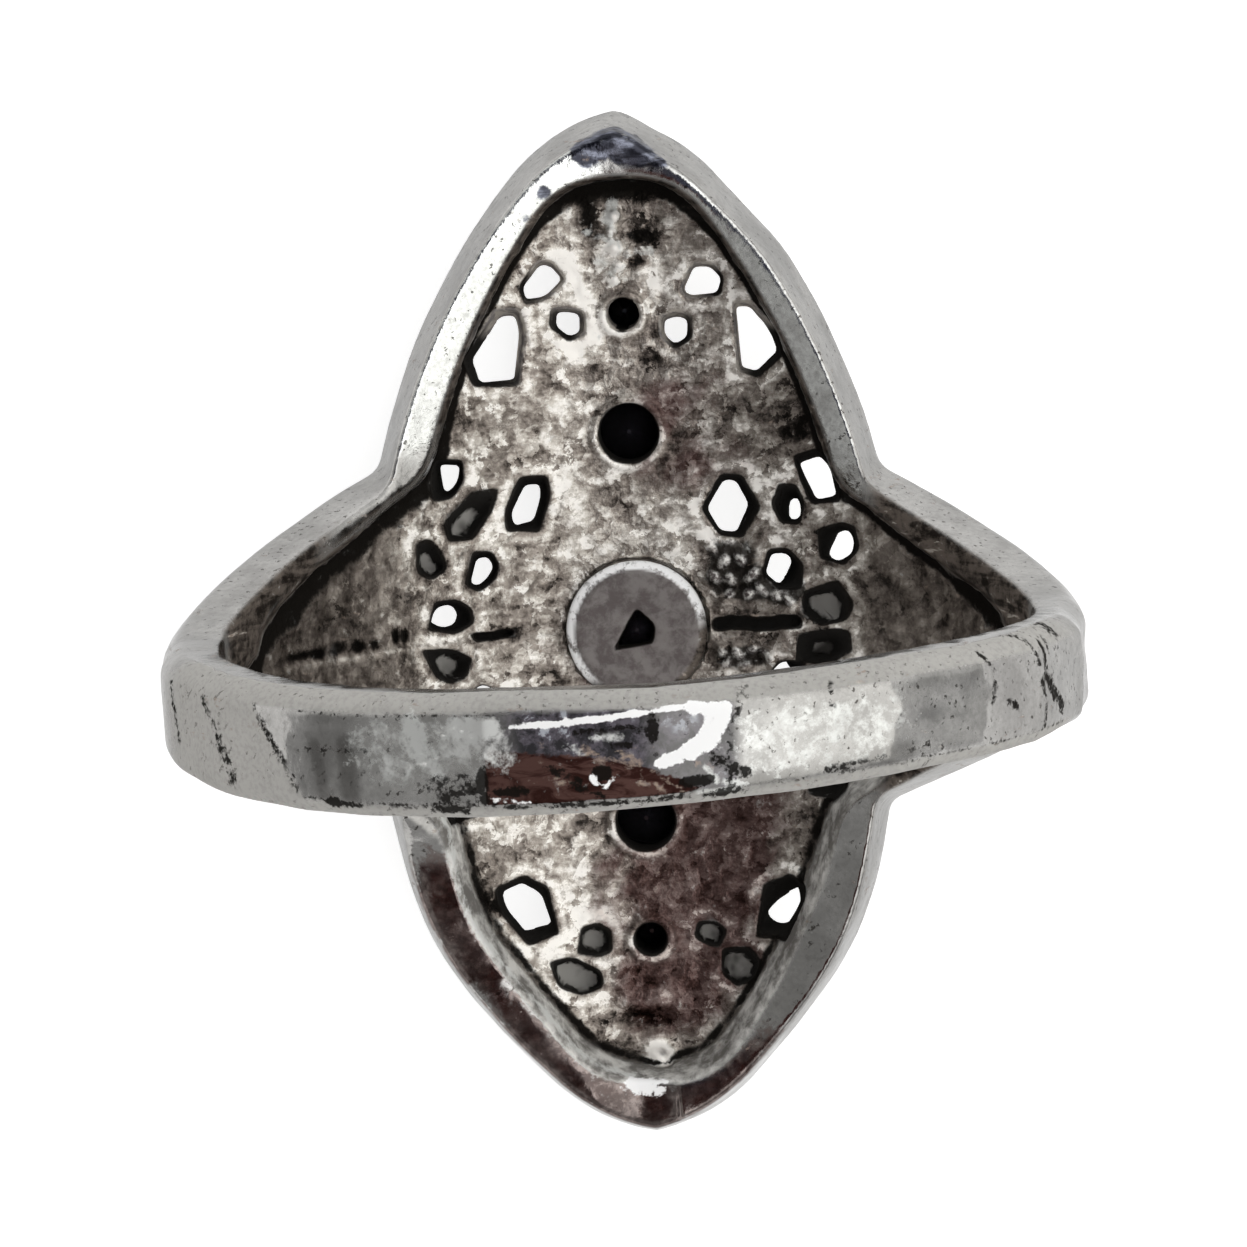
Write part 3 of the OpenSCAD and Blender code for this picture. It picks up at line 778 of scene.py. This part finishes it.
def recess_marks(points):
    """Marks of the head's back: its plate, the wall round it, the collet disc and the rim."""
    x, y, z = points.T
    side_x, from_middle, round_r = np.abs(x), hypot(x, y), hypot(x, z)
    outline, rise, in_recess, on_wall, on_disc, cast = recess_masks(x, y, z)
    # Black at the base of the recess wall, partly oxide and partly painted shade, wider at the upper
    # tip
    reach = 0.2 + np.where(x < 0, 0.4, 0.06) * ease(0.2, 1, y) * ease(3.6, 4.6, side_x)
    reach += 0.45 * ease(6.8, 7.8, side_x) + 0.25 * ease(8.6, 9.6, y)
    foot = in_recess * ease(-1, 0, outline / reach) * ease(-0.28, 0, rise)

    mouths = nearest_hole(x, y, z)
    holes = minimum(minimum(mouths, seam_slits(x, y, z)), triangle_hole(x, y, z))
    collar = bump(mouths - 0.2, 0.1)
    for setting in SETTINGS[1:]:
        place, *_, hole = setting
        holes = minimum(holes, round_hole(x, y, z, setting))
        ring = hypot(x, y - place) - hole / 2 - 0.1
        collar = maximum(collar, 1.6 * bump(ring, 0.09) * ease(0.3, -0.1, y - place))
    # Bright spots: rubbed wear, painted light on the lumps' tops and a painted highlight above the
    # collet
    wear = blots(x, y, WEAR) + 0.7 * collar + 10 * clip(blots(x, y, LUMPS), 0, 1)
    wear += 0.5 * bump(from_middle - 1.85, 0.2) * ease(-0.6, 0.6, y)
    from_web = np.abs(over_plate(x, z) - WEB_DEPTH - WEB_T / 2) - WEB_T / 2
    by_web = nearest_hole(x, y, z, [hole for hole in HOLES if hole[0]]) < 0.15

    from_top = z - PLATE_Z - COLLET_H
    # A painted highlight: the upper side of the collet's chamfer, painted near white
    arc = ease(1.37, 1.42, from_middle) * ease(1.64, 1.58, from_middle)
    arc *= (np.abs(from_top) < 0.2) * ease(-0.75, -0.3, 0.89 * y - 0.45 * x)
    wall = in_recess * on_wall
    # Upper recess walls and the bore by the shoulders: tarnished and painted shade, spared on a patch
    # at left
    spared = ease(-6.2, -5.6, x) * ease(-4, -4.5, x) * (y > 1.5) * (y < 5)
    beyond = ease(-0.4, 0.3, side_x - np.where(x < 0, 6.7, 5.3))
    bore = ease(BORE_R + 0.12, BORE_R + 0.02, round_r) * beyond * ease(-0.2, -1.2, z)
    rim = ease(BORE_R + 0.1, BORE_R + 0.02, round_r) * (z < -4) * (1 - in_recess)
    # A painted sheen on the rim's uneven back, at the upper left and right
    left_rim = ease(0.2, -0.8, x) * ease(3.4, 5.2, y)
    right_rim = 0.6 * ease(0.5, 1.5, x) * ease(0.5, 2.5, y)
    return {
        "cast": cast,
        "foot": foot * (1 - 0.25 * ease(-3, -5, y)),
        # Piercings' walls are painted black, partly oxide and partly painted shade
        "hole": ease(0.13, -0.05, holes),
        "web": ease(0.05, 0.02, from_web) * by_web,
        "disc": on_disc * ease(-0.07, 0, from_top) * ease(1.45, 1.38, from_middle),
        "arc": arc,
        "lip": lips(x, y, z),
        "wear": wear * cast,
        "red": blots(x, y, RED_REFLECTIONS) * (z < 0),
        "bubbles": blots(x, y, BUBBLES) * cast,
        "bead": beads(x, y) * cast,
        "tarnish": maximum(bore, wall * ease(-3.5, -1.5, y) * (1 - 0.85 * spared)),
        # The recess's lower walls, painted pale as lit
        "low_wall": wall * ease(-2, -3.5, y),
        # A painted highlight along the middle of the recess's lower left wall
        "wall_sheen": bump(rise + 0.8, 0.16) * in_recess * ease(-3, -4, y) * ease(0.6, -0.6, x),
        # Painted reflections on the rim's back
        "blue": balls(points, RIM_BLUE_REFLECTIONS),
        "blush": balls(points, RIM_RED_REFLECTIONS) * (1 - in_recess),
        "lumpy": rim * maximum(left_rim, right_rim),
    }


def shank_marks(points):
    """Marks on the outside of the shank, and the strokes of every part."""
    x, y, z = points.T
    top, side, middle = band_faces(x, y, z)
    skin = (top > -0.5) | (z < 0)
    on_band = ease(1.5, 3.5, z) * (top > -0.5)
    edge = side + np.where(y > middle, UPPER_BEVEL, BEVEL)
    left_end = ease(0.06, -0.06, x + 7.6 + 0.58 * (y - 0.5))
    # Bevels and the shank's left end are painted a flat grey that stands in for their reflection
    strip = maximum(ease(-0.06, 0.02, edge), left_end) * on_band
    # Painted reflection of the dark gap where the camera stands: red-brown below, purplish above
    reflection_zone = ease(-2.8, -2.68, x) * ease(2.5, 2.2, x) * on_band * (1 - strip)
    above = y - middle + 0.02 + 0.12 * (x + 0.8) + 0.1 * clip(x + 0.8, 0, None) ** 2
    line = bump(edge + 0.07, 0.035) * on_band * ease(-1.8, -2.6, x) * (x > -6.6)
    low_line = bump(side + BEVEL + 0.02, 0.05) * on_band * (y < middle) * ease(-6.2, -5.5, x)
    tables = {"score": SCORES_AND_DARK_REFLECTION, "shade": SHADES, "seam": ROUGH_MARKS_AND_HIGHLIGHTS, "glint": HIGHLIGHT_STROKES, "tan": REFLECTION_SWIRLS}
    marks = {name: strokes(on_round(points), table) * skin for name, table in tables.items()}
    marks["score"] = maximum(marks["score"], maximum(0.7 * line, 0.5 * low_line))
    marks["strip"] = strip
    marks["rust"] = reflection_zone * ease(0.24, -0.24, above)
    marks["violet"] = reflection_zone * (1 - 0.35 * maximum(ease(0.3, 0.9, x), ease(-1.9, -2.4, x)))
    return marks


def masks(points):
    """What the metal is like at each point, as shares that its material reads by name."""
    marks = {**recess_marks(points), **shank_marks(points)}
    # The painted highlight on the wall joins the bright rough marks
    marks["seam"] = maximum(marks["seam"], 0.75 * marks.pop("wall_sheen"))
    return marks


def roughen(points, normals):
    """Cast grain on the plate and the slow wobble of hand polishing elsewhere."""
    cast = recess_masks(*points.T)[-1][:, None]
    grain = fractal(points, 2.6, 3, 3.1)
    slow = fractal(points, 0.6, 2, 9.4)
    return points + normals * (cast * (0.035 * grain) + 0.02 * slow)


# The grid's two corners, off the round numbers, so that no flat of the ring lies on a layer of it
GRID_LOW = np.array([-10.613, -12.217, -12.229])
GRID_HIGH = np.array([10.6, 12.2, 10.6])


def thinned(body, points, ratio):
    """The body's mesh with fewer triangles, apart from its back, which carries the fine marks."""
    x, y, z = points.T
    on_band = (z > 2) & (band_faces(x, y, z)[0] > -0.2)
    marked = on_band | (hypot(x, z) < BORE_R + 0.05) & (z < -4) | (recess_masks(x, y, z)[2] > 0.5)
    plain = body.vertex_groups.new(name="plain")
    plain.add(np.flatnonzero(~marked).tolist(), 1, "REPLACE")
    thin = body.modifiers.new("thin", "DECIMATE")
    thin.ratio = ratio
    thin.vertex_group = "plain"
    evaluated = body.evaluated_get(bpy.context.evaluated_depsgraph_get())
    mesh = bpy.data.meshes.new_from_object(evaluated)
    body.modifiers.clear()
    return mesh


def metal_mesh():
    points, faces = surface_net(sample_field(GRID_LOW, GRID_HIGH), GRID_LOW)
    points = roughen(*settle(points))
    mesh = bpy.data.meshes.new("silver_body")
    mesh.from_pydata((points * MM).tolist(), [], faces.tolist())
    body = bpy.data.objects.new("silver_body", mesh)
    bpy.context.scene.collection.objects.link(body)
    body.data = thinned(body, points, TRIANGLES / (2 * len(faces)))
    body.data.shade_smooth()
    places = np.empty(3 * len(body.data.vertices))
    body.data.vertices.foreach_get("co", places)
    for name, value in masks(places.reshape(-1, 3) / MM).items():
        body.data.attributes.new(name, "FLOAT", "POINT").data.foreach_set("value", value)
    return body


# Colours of the metal, as linear values
POLISHED = ((0.34, 0.333, 0.322), (0.46, 0.452, 0.438))
POLISHED_DULL = (0.2, 0.195, 0.187)
# Bright rough metal, and the painted sheen of the rim's back
BRIGHT_METAL_AND_SHEEN = (0.74, 0.75, 0.73)
# Pale of the lit lower walls and of the lit tops of the small lumps
LIT_PALE = ((0.2, 0.19, 0.178), (0.72, 0.71, 0.68))
# Flat grey painted as the bevels' reflection
STRIP = (0.4, 0.39, 0.37)
# White of the painted highlights
HIGHLIGHT_WHITE = (0.93, 0.93, 0.93)
# Painted reflection of the dark gap where the camera stands, on the shank's middle
DARK_RED_REFLECTION = ((0.028, 0.011, 0.009), (0.08, 0.042, 0.036))
TAN_REFLECTION = (0.3, 0.235, 0.19)
VIOLET_REFLECTION = ((0.03, 0.029, 0.032), (0.11, 0.1, 0.118))
PALE_REFLECTION_SPECK = (0.36, 0.38, 0.42)
# Red-brown of the painted reflections on the rim and in the shank's middle
RUDDY_REFLECTION = ((0.05, 0.028, 0.024), (0.19, 0.15, 0.138))
PIT = (0.05, 0.045, 0.04)
# Black of oxide and painted shade
OXIDE_AND_SHADE = (0.008, 0.007, 0.006)
# Grey of the webs, painted shade seen through the piercings
WEB_SHADE = ((0.06, 0.056, 0.052), (0.33, 0.32, 0.3))
# Tarnished brown and painted shade, with painted highlight streaks
TARNISH_AND_SHADE = ((0.016, 0.013, 0.011), (0.125, 0.105, 0.09))
STREAK_HIGHLIGHT = (0.42, 0.385, 0.34)
# Bluish colour of the painted reflection at the rim's upper tip
BLUE_REFLECTION = ((0.035, 0.036, 0.046), (0.16, 0.168, 0.205))
DISC = ((0.115, 0.1, 0.098), (0.2, 0.184, 0.178))
STONE = ((0.004, 0.004, 0.005), (0.014, 0.013, 0.016))
FLOOR = ((0.62, 0.62, 0.62), (0.64, 0.64, 0.64))
SKY = (0.55, 0.55, 0.55)
SKY_ABOVE = (0.95, 0.95, 0.94)
RED_GAP = (0.085, 0.028, 0.024)
BLUE_GAP = (0.06, 0.062, 0.088)
# The oxidised plate from its deepest black to its rubbed spots, painted near white as highlights, and
# the same under the painted red-brown reflection.
# Columns: tone, colour
CAST = [
    (0.375, (0.008, 0.007, 0.006)), (0.43, (0.045, 0.038, 0.033)), (0.475, (0.15, 0.128, 0.112)),
    (0.53, (0.29, 0.258, 0.228)), (0.58, (0.52, 0.485, 0.44)), (0.64, (0.98, 0.95, 0.9)),
]
RED_REFLECTION_CAST = [
    (0.375, (0.008, 0.004, 0.003)), (0.44, (0.042, 0.023, 0.02)), (0.51, (0.1, 0.064, 0.058)),
    (0.6, (0.2, 0.15, 0.138)), (0.7, (0.7, 0.62, 0.57)),
]


class Value:
    """An output of a shader node, which can be added, subtracted and multiplied."""

    def __init__(self, graph, socket):
        self.graph = graph
        self.socket = socket

    def other(self, name):
        """Another output of the same node."""
        return Value(self.graph, self.socket.node.outputs[name])

    def __add__(self, more):
        return self.graph.math("ADD", self, more)

    def __sub__(self, less):
        return self.graph.math("SUBTRACT", self, less)

    def __mul__(self, times):
        return self.graph.math("MULTIPLY", self, times)


class Graph:
    """Short way to write a node tree: each call makes a node and returns one of its outputs."""

    def __init__(self, tree):
        self.tree = tree
        tree.nodes.clear()

    def node(self, kind, inputs, output=0, **settings):
        made = self.tree.nodes.new(kind)
        for name, value in settings.items():
            setattr(made, name, value)
        for name, value in inputs.items():
            if isinstance(value, Value):
                self.tree.links.new(value.socket, made.inputs[name])
            else:
                made.inputs[name].default_value = value
        return Value(self, made.outputs[output])

    def finish(self, kind, shader):
        self.tree.links.new(shader.socket, self.tree.nodes.new(kind).inputs[0])

    def principled(self, inputs):
        self.finish("ShaderNodeOutputMaterial", self.node("ShaderNodeBsdfPrincipled", inputs))

    def attribute(self, name):
        return self.node("ShaderNodeAttribute", {}, "Fac", attribute_name=name)

    def vector(self, operation, first, second):
        return self.node("ShaderNodeVectorMath", {0: first, 1: second}, operation=operation)

    def millimetres(self):
        place = self.node("ShaderNodeTexCoord", {}, "Object")
        return self.vector("MULTIPLY", place, (1 / MM,) * 3)

    def noise(self, vector, scale, detail=4, roughness=0.5, distortion=0):
        return self.node("ShaderNodeTexNoise", {
            "Vector": vector, "Scale": scale, "Detail": detail,
            "Roughness": roughness, "Distortion": distortion,
        })

    def cells(self, vector, scale):
        """Cells about 1 / scale millimetres wide: distance to a middle, and two chances per cell."""
        cell = self.node("ShaderNodeTexVoronoi", {"Vector": vector, "Scale": scale})
        chance = self.node("ShaderNodeSeparateColor", {0: cell.other("Color")})
        return cell, chance, chance.other(1)

    def math(self, operation, *values):
        return self.node("ShaderNodeMath", dict(enumerate(values)), operation=operation)

    def most(self, best, *others):
        """The highest of several values."""
        for other in others:
            best = self.math("MAXIMUM", best, other)
        return best

    def ramp(self, value, low, high, start=0, end=1):
        """A soft step from start to end, while the value goes from low to high."""
        return self.node("ShaderNodeMapRange", {
            "Value": value, "From Min": low, "From Max": high, "To Min": start, "To Max": end,
        }, interpolation_type="SMOOTHSTEP")

    def colors(self, value, stops):
        """Colour ramp from a list of places and colours."""
        ramp = self.node("ShaderNodeValToRGB", {"Fac": value})
        elements = ramp.socket.node.color_ramp.elements
        elements.remove(elements[1])
        for number, (place, color) in enumerate(stops):
            stop = elements[0] if number == 0 else elements.new(place)
            stop.position = place
            stop.color = (*color, 1)
        return ramp

    def blend(self, share, first, second):
        """Mix two colours, each a constant or the output of a node."""
        first, second = [c if isinstance(c, Value) else (*c, 1) for c in (first, second)]
        return self.node("ShaderNodeMix", {0: share, 6: first, 7: second}, 2, data_type="RGBA")

    def coats(self, color, *coats):
        """A colour under one coat after another, each with its share and its own colour."""
        for share, coat in coats:
            color = self.blend(share, color, coat)
        return color


def new_material(name):
    material = bpy.data.materials.new(name)
    material.use_nodes = True
    return material, Graph(material.node_tree)


# The plate's tone is calmed towards this one in the shoulders, from one reach to the other
SHOULDER_TONE = 0.461
SHOULDER_REACH = (4.4, 5.8)
BUMP_DEPTH = 0.06


def silver_material():
    material, g = new_material("silver")
    ramp, blend, most = g.ramp, g.blend, g.most
    at = g.millimetres()
    cast, foot, hole, web, disc, arc, wear, red, bubbles, bead, lip = map(
        g.attribute, "cast foot hole web disc arc wear red bubbles bead lip".split())
    tarnish, low_wall, blue, blush, lumpy, score, seam, shade, glint, strip, rust, violet, tan = map(
        g.attribute, ("tarnish low_wall blue blush lumpy score seam shade glint strip rust violet "
                      "tan").split())
    large = g.noise(at, 0.75, 3, 0.6, 0.3)
    middle = g.noise(at, 2.6, 4, 0.68, 0.2)
    fine = g.noise(g.vector("MULTIPLY", at, (1.6, 5.2, 3.5)), 1, 3, 0.6)
    grit = g.noise(at, 9, 2, 0.6)
    flow = g.noise(g.vector("MULTIPLY", at, (1.1, 3, 0.35)), 1, 4, 0.62, 1.2)
    nudged = g.vector("ADD", at, middle)
    dimple, cell, _ = g.cells(nudged, 3.7)
    spot, chance, width = g.cells(nudged, 5)
    spot = g.math("LESS_THAN", spot, ramp(width, 0, 1, 0.08, 0.27))
    pit = spot * g.math("GREATER_THAN", chance, 0.3)
    rough_edge = (middle - 0.5) * 2.4
    ragged = (grit - 0.5) * 1.4 + rough_edge

    # Polished metal with small pits, faint stains, painted shade, and on the rim's back a painted sheen
    # and painted bluish and red-brown reflections
    polished = g.coats(
        blend(ramp(large, 0.35, 0.65), *POLISHED),
        # Painted sheen on the rim's back
        (ramp(lumpy + middle * 0.9, 0.75, 1.3), BRIGHT_METAL_AND_SHEEN),
        (ramp(grit, 0.4, 0.7, 0, 0.25), POLISHED_DULL),
        (ramp(dimple, 0.25, 0.6, 0, 0.12), POLISHED_DULL),
        # Painted soft shade
        (shade * 0.8, PIT),
        (ramp(middle, 0.56, 0.68, 0, 0.28), PIT),
        (pit * 0.85, PIT),
        # Painted bluish and red-brown reflections on the rim's back
        (ramp(blue + middle * 0.8, 0.72, 0.95),
         blend(ramp(fine, 0.42, 0.62), *BLUE_REFLECTION)),
        (ramp(rough_edge * 0.6 + blush, 0.3, 0.6, 0, 0.85),
         blend(ramp(middle, 0.42, 0.62), *RUDDY_REFLECTION)),
    )

    # Oxidised cast metal, rubbed bright in spots painted near white as highlights, with a painted
    # red-brown reflection, painted light and shade on the small round lumps, and black of oxide and
    # painted shade at the wall's base
    tone = middle * 0.38 + large * 0.24 + fine * 0.17 + grit * 0.12 + cell * 0.1 + wear * 0.12
    reach = g.math("ABSOLUTE", g.node("ShaderNodeSeparateXYZ", {0: at}))
    calm = ramp(reach, *SHOULDER_REACH, 0, 0.45)
    tone = g.node("ShaderNodeMix", {0: calm, 2: tone, 3: SHOULDER_TONE})
    # Black at the wall's base: oxide and painted shade
    black = ramp(foot + rough_edge * 0.5, 0.2, 0.6)
    lump_color = blend(ramp(grit, 0.35, 0.65), DISC[0], LIT_PALE[1])
    dull = g.coats(
        g.colors(tone + 0.016, CAST),
        # Painted red-brown reflection on the plate
        (ramp((large - 0.5) * 1.6 + red, 0.3, 0.75), g.colors(tone + 0.01, RED_REFLECTION_CAST)),
        # Small round lumps: painted light on their tops, oxide and painted shade between them
        (ramp(rough_edge * 0.5 + bubbles, 0.35, 0.65, 0, 0.9),
         blend(ramp(rough_edge * 0.2 + bead, 0.25, 0.75), OXIDE_AND_SHADE, lump_color)),
        (black * 0.95, OXIDE_AND_SHADE),
    )

    # Painted reflections and highlights of the shank, scores, bright rough marks and piercings
    # Painted reflection on the shank's middle, with tan swirls
    rust = ramp(ragged * 0.35 + rust, 0.35, 0.6)
    swirl = ramp(ragged * 0.5 + (flow - 0.5) * 2.2 + tan, 0.35, 0.8)
    eaten = ramp(grit, 0.42, 0.58) + ramp(middle, 0.4, 0.6)
    # Scores, and black patches of painted dark reflection
    scored_and_dark_reflection = ramp(eaten * 0.3 + score, 0.6, 1.1)
    # Bright rough marks and painted highlights
    nicked_and_highlit = ramp((grit + rough_edge) * 0.9 + seam, 0.72, 1.45)
    # Painted white highlights
    painted_white = ramp(ragged * 0.5 + glint, 0.42, 0.66)
    hole = ramp(rough_edge * 0.3 + hole, 0.36, 0.66)
    brown = blend(ramp(flow + middle, 0.8, 1.15), *TARNISH_AND_SHADE)
    violet_color = blend(ramp(middle, 0.4, 0.6), *VIOLET_REFLECTION)
    pale_spot = ramp(middle, 0.56, 0.64) * ramp(large, 0.44, 0.54)
    pale_lip = blend(ramp(middle, 0.4, 0.6), DISC[1], STREAK_HIGHLIGHT)
    color = g.coats(
        polished,
        # Lower walls painted pale as lit
        (low_wall, blend(ramp(middle + large, 0.8, 1.2), *LIT_PALE)),
        # Tarnished brown and painted shade, with painted highlight streaks
        (tarnish, blend(ramp(flow, 0.63, 0.7), brown, STREAK_HIGHLIGHT)),
        (cast, dull),
        # Bevels painted flat grey as their reflection
        (strip, blend(ramp(grit, 0.4, 0.7, 0, 0.3), STRIP, POLISHED_DULL)),
        (pit * strip * 0.6, PIT),
        # Painted reflection, purplish above and red-brown below
        (violet, blend(pale_spot, violet_color, PALE_REFLECTION_SPECK)),
        (rust, blend(ramp(flow, 0.4, 0.58), *DARK_RED_REFLECTION)),
        (swirl, blend(ramp(grit, 0.35, 0.6), RUDDY_REFLECTION[1], TAN_REFLECTION)),
        (nicked_and_highlit * 0.9, BRIGHT_METAL_AND_SHEEN),
        (scored_and_dark_reflection * 0.95, OXIDE_AND_SHADE),
        # Painted highlights, white and not metallic
        (painted_white, HIGHLIGHT_WHITE),
        (black * 0.9, OXIDE_AND_SHADE),
        (disc, blend(ramp(middle, 0.35, 0.65), *DISC)),
        # Painted highlight on the collet's chamfer
        (arc, blend(ramp(middle, 0.35, 0.5), DISC[1], HIGHLIGHT_WHITE)),
        # Piercings: black of oxide and painted shade, pale on the lip facing the plate's middle
        (hole * 0.97, blend(lip, OXIDE_AND_SHADE, pale_lip)),
        # Grey webs: painted shade seen through the piercings
        (web, blend(ramp(large, 0.38, 0.56), *WEB_SHADE)),
    )

    # Marks hide the mirror of the metal, in part or whole
    # Rubbed spots lose their mirror: painted near white as highlights
    rubbed = ramp(tone, 0.55, 0.63) * cast
    painted_reflection = most(rust, swirl, violet)
    dark = most(hole, web, black * 0.9, strip * 0.7, arc, painted_white, painted_reflection * 0.85, scored_and_dark_reflection,
                  tarnish * 0.7, low_wall * 0.75, rubbed * 0.8)
    rough = ramp(large, 0.35, 0.65, 0.12, 0.26) + cast * ramp(rubbed, 0, 1, 0.28, 0.08)
    rough = rough + most(dark, disc, low_wall) * 0.28 + most(scored_and_dark_reflection, nicked_and_highlit) * 0.25

    # Relief too fine for the mesh
    height = large * 0.9 + middle * (lumpy * 0.5 + 0.1) + g.math("MINIMUM", tone, 0.57) * cast * 3.2
    g.principled({
        "Base Color": color,
        "Metallic": g.math("SUBTRACT", 1, dark),
        "Roughness": rough,
        "Normal": g.node("ShaderNodeBump", {
            "Height": height, "Strength": 0.7, "Distance": BUMP_DEPTH * MM,
        }),
        "Specular Tint": (0.62, 0.62, 0.62, 1),
        "Specular IOR Level": 0,
    })
    return material


def stone_material():
    material, g = new_material("dark_stone")
    color = g.blend(g.noise(g.millimetres(), 1.3, 3), *STONE)
    g.principled({"Base Color": color, "Roughness": 0.06, "IOR": 1.7})
    return material


FLOOR_HALF = 400
FLOOR_GLOW = 0.7


def floor():
    half, level = FLOOR_HALF * MM, TABLE_Z * MM
    corners = [(-half, -half, level), (half, -half, level), (half, half, level), (-half, half, level)]
    mesh = bpy.data.meshes.new("floor")
    mesh.from_pydata(corners, [], [(0, 1, 2, 3)])
    piece = bpy.data.objects.new("floor", mesh)
    bpy.context.scene.collection.objects.link(piece)
    material, g = new_material("pale_floor")
    g.principled({
        "Base Color": g.blend(g.noise(g.millimetres(), 0.02, 2), *FLOOR),
        "Roughness": 0.9,
        "Emission Color": (1, 1, 1, 1),
        "Emission Strength": FLOOR_GLOW,
    })
    material.cycles.emission_sampling = "NONE"
    mesh.materials.append(material)


# The studio as a band of soft light that wraps over the ring from left to right: a grey wall, a
# white screen and another grey wall. The gap between the first two, where the camera stands, is
# dark. Columns: angle from straight up, towards +X, and colour
WRAP = [
    (-180, SKY), (-90, (0.42, 0.42, 0.42)), (-10, (0.5, 0.5, 0.49)), (2, (2.3, 2.3, 2.3)),
    (24, (2, 2, 1.98)), (34, (1.6, 1.6, 1.56)), (66, (1.6, 1.59, 1.55)), (76, (0.62, 0.62, 0.61)),
    (180, SKY),
]
WRAP_PEAK = 2.4
GAP = (-28, -1)
GAP_EDGE = 2.5
# Between these angles above and below the camera's height the wrap gives way to plain sky
SKY_EDGE = (32, 60)


def studio():
    world = bpy.data.worlds.new("studio")
    bpy.context.scene.world = world
    world.use_nodes = True
    # The sky is soft, so it lights the ring evenly without being aimed at
    world.cycles.sampling_method = "NONE"
    g = Graph(world.node_tree)
    # Angles across and along the ring, from straight up
    x = g.node("ShaderNodeSeparateXYZ", {0: g.node("ShaderNodeTexCoord", {}, "Generated")})
    across = g.math("ARCTAN2", x, x.other("Z"))
    along = g.math("ARCTAN2", x.other("Y"), x.other("Z"))
    stops = [(angle / 360 + 0.5, [part / WRAP_PEAK for part in tint]) for angle, tint in WRAP]
    wrap = g.vector("MULTIPLY", g.colors(across * (0.5 / math.pi) + 0.5, stops), (WRAP_PEAK,) * 3)
    left, right, edge = map(math.radians, (*GAP, GAP_EDGE))
    low, high = map(math.radians, SKY_EDGE)
    gap = g.ramp(across, left - edge, left) * g.ramp(across, right + edge, right)
    color = g.coats(
        wrap,
        (gap, g.blend(g.ramp(along, -0.15, -0.07), RED_GAP, BLUE_GAP)),
        (g.ramp(along, low, high), SKY_ABOVE),
        (g.ramp(along, -low, -high), SKY),
    )
    g.finish("ShaderNodeOutputWorld", g.node("ShaderNodeBackground", {"Color": color, "Strength": 1}))


def camera():
    place, forward, right, up = camera_axes()
    # The picture's middle lies a little off the origin of the ring
    off_right = (PHOTO_SIZE / 2 - ORIGIN_PIXEL[0]) / FOCAL_PIXELS
    off_up = (ORIGIN_PIXEL[1] - PHOTO_SIZE / 2) / FOCAL_PIXELS
    forward = (forward + off_right * right + off_up * up).normalized()
    right = forward.cross(up).normalized()
    up = right.cross(forward)
    data = bpy.data.cameras.new("camera")
    data.sensor_width = SENSOR
    data.lens = SENSOR * FOCAL_PIXELS / PHOTO_SIZE
    data.clip_start, data.clip_end = CLIP
    made = bpy.data.objects.new("camera", data)
    turned = Matrix((right, up, -forward)).transposed().to_4x4()
    made.matrix_world = Matrix.Translation(place * MM) @ turned
    bpy.context.scene.collection.objects.link(made)
    bpy.context.scene.camera = made


def dress_stones():
    material = stone_material()
    for node in ("main_stone", "upper_stone", "lower_stone", "upper_small_stone", "lower_small_stone"):
        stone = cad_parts[node]
        stone.data.materials.clear()
        stone.data.materials.append(material)


body = metal_mesh()
body.data.materials.append(silver_material())
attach(body, "root")
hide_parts("ring_body")
dress_stones()
floor()
studio()
camera()
bpy.context.scene.view_settings.view_transform = "Standard"
